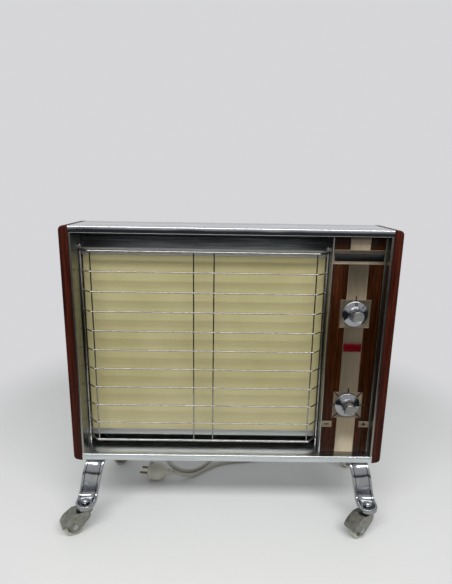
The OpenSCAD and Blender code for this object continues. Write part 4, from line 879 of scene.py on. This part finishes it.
# Casters: turned nylon wheels, hooded forks, riveted axles, clamped stems
def casters():
    caster = {"stem": 267, "along": 95.5, "trail": 23, "angle": 212, "axle": 19, "wheel": 19, "wide": 9,
              "hub": 11.2, "bore": 3.05, "ease": 0.2}
    w, r, b, h = caster["wide"], caster["wheel"], caster["bore"], caster["hub"]
    half = [(b, h), (b + 3.6, h), (b + 4, h - 0.6), (b + 4.2, 3.6), (b + 5.2, 3), (r - 6.4, 3), (r - 5.5, 3.8),
            (r - 5, w - 0.4), (r - 4.4, w), (r - 2.5, w), (r - 1.1, w - 0.8), (r - 0.2, w - 2.4), (r, w - 4.5)]
    profile = [(x, -z) for x, z in half] + half[::-1]
    for x, side in ((-1, "left"), (1, "right")):
        for y, end in ((-1, "front"), (1, "rear")):
            corner = end + "_" + side
            a = radians(caster["angle"] - (180 if y > 0 else 0))
            place = onFloor(x * caster["stem"] + caster["trail"] * cos(a),
                            y * caster["along"] + caster["trail"] * sin(a), caster["axle"])
            axle = Vector((-sin(a), cos(a), 0))
            wheel = turned(profile, sides=40, place=place, turn=(-pi / 2, 0, a))
            pick(wheel, "FACE", lambda at, n: abs(n.dot(axle)) > 0.99
                 and (at - place).cross(axle).length < 5 * touching)
            bpy.ops.mesh.delete(type="FACE")  # the bore runs through from end to end
            pick(wheel, "EDGE")
            bpy.ops.mesh.select_non_manifold(extend=False)
            bpy.ops.mesh.bridge_edge_loops()
            tidyMesh()
            finish(wheel, "nylon_wheel_" + corner, nylon, "caster_wheel_" + corner, "wheel_" + corner, smooth=40)
            fork = hoodedFork(corner, onFloor(x * caster["stem"], y * caster["along"], 0),
                              Vector((cos(a), sin(a), 0)))
            finish(fork, "hooded_fork_" + corner, forkZinc, "caster_fork_" + corner, "swivel_" + corner,
                   smooth=40)
            for kind, name, body in (("axle", "riveted_axle_", "swivel_" + corner),
                                     ("stem", "clamped_stem_", "casing")):
                node = "caster_" + kind + "_" + corner
                piece = softCopy(node, caster["ease"], segments=1)
                finish(piece, name + corner, screwSteel, node, body, smooth=30)


# Gland on the back cover, ribbed so that the lead bends in a curve
def leadGland():
    gland = {"x": 200, "height": 60, "back": 146, "long": 26, "ribs": 5, "ribPitch": 4, "taper": 0.28}
    f = lead["thick"] / 2
    profile = [(f + 0.05, -4.5), (f + 2.6, -4.5), (f + 2.6, -1), (f + 1.5, -1), (f + 1.5, 0.05), (f + 5, 0.05),
               (f + 5, 2.4), (f + 4.4, 3.2), (f + 3, 3.8)]
    for k in range(gland["ribs"]):  # each rib is a little smaller than the last
        z, reach = 4.2 + gland["ribPitch"] * k, f + 2.5 - gland["taper"] * k
        profile += [(reach - 0.1, z), (reach, z + 0.5), (reach, z + 2.2), (reach - 0.3, z + 2.6),
                    (reach - 1.0, z + 2.8), (reach - 1.0, z + 3.6)]
    profile += [(f + 0.75, gland["long"] - 1.2), (f + 0.55, gland["long"] - 0.1), (f + 0.05, gland["long"])]
    piece = turned(profile, sides=40, place=inCasing(gland["x"], gland["back"], gland["height"]),
                   turn=(-pi / 2, 0, 0))
    finish(piece, "ribbed_lead_gland", blackGloss, "cord_gland", smooth=40)


# Plug: a turned grip with two rings let into it, recesses in its rim and holes that the pins sit in
def mainsPlug():
    plug = {"tail": lead["front"][-1], "angle": 174, "long": 54, "wide": 39, "rings": (38, 44), "ring": 0.5,
            "recess": (11.2, 8, 4), "recessBack": 4, "recessIn": 1.2, "pinAway": 9.5, "pinHole": 2.45,
            "pinDeep": 14, "ease": 0.3}
    r, f, long, g = plug["wide"] / 2, lead["thick"] / 2, plug["long"], plug["ring"]
    profile = [(1, 0), (f + 1, 0), (f + 1.6, 0.5), (f + 2, 2), (f + 2.5, 5), (f + 3.1, 9), (f + 3.6, 12.5),
               (f + 4.8, 14.6), (f + 6.6, 16.4), (r - 7, 18.6), (r - 4.6, 21.4), (r - 2.6, 24.4),
               (r - 1.3, 27.6), (r - 0.5, 31), (r, 33.4)]
    for z in plug["rings"]:
        profile += [(r, z), (r - g, z + g), (r - g, z + 3 * g), (r, z + 4 * g)]
    profile += [(r, long - 1.8), (r - 0.6, long - 0.6), (r - 1.8, long), (1, long)]
    a, tail = radians(plug["angle"]), onFloor(*plug["tail"])
    way, across = Vector((cos(a), sin(a), 0)), Vector((-sin(a), cos(a), 0))
    turn = way.to_track_quat("Z", "Y").to_euler()
    piece = turned(profile, sides=48, place=tail, turn=turn)
    settle(piece)
    cutters = []
    for s in (-1, 1):
        bpy.ops.mesh.primitive_cube_add(
            size=1, rotation=(0, 0, a), scale=onFloor(*plug["recess"]),
            location=tail + way * (long - plug["recessBack"]) / 1000 + onFloor(0, 0, s * (r - plug["recessIn"])))
        cutters.append(bpy.context.object)
        bpy.ops.mesh.primitive_cylinder_add(
            vertices=24, radius=plug["pinHole"] / 1000, depth=plug["pinDeep"] / 1000, rotation=turn,
            location=tail + way * long / 1000 + across * s * plug["pinAway"] / 1000)
        cutters.append(bpy.context.object)
    cutAway(piece, join(cutters))
    softenEdges(piece, plug["ease"], segments=1, angle=50)
    finish(piece, "moulded_plug", plugPlastic, "plug_body", smooth=40)
    finish(softCopy("plug_pins", plug["ease"]), "plug_pins_brass", brass, "plug_pins")


for stage in (sideBoards, casingSheets, enamelPanel, wireGrille, knobs, fasciaFront, smallSteel, legs, casters,
              leadGland, mainsPlug):
    stage()
    print("made:", stage.__name__)
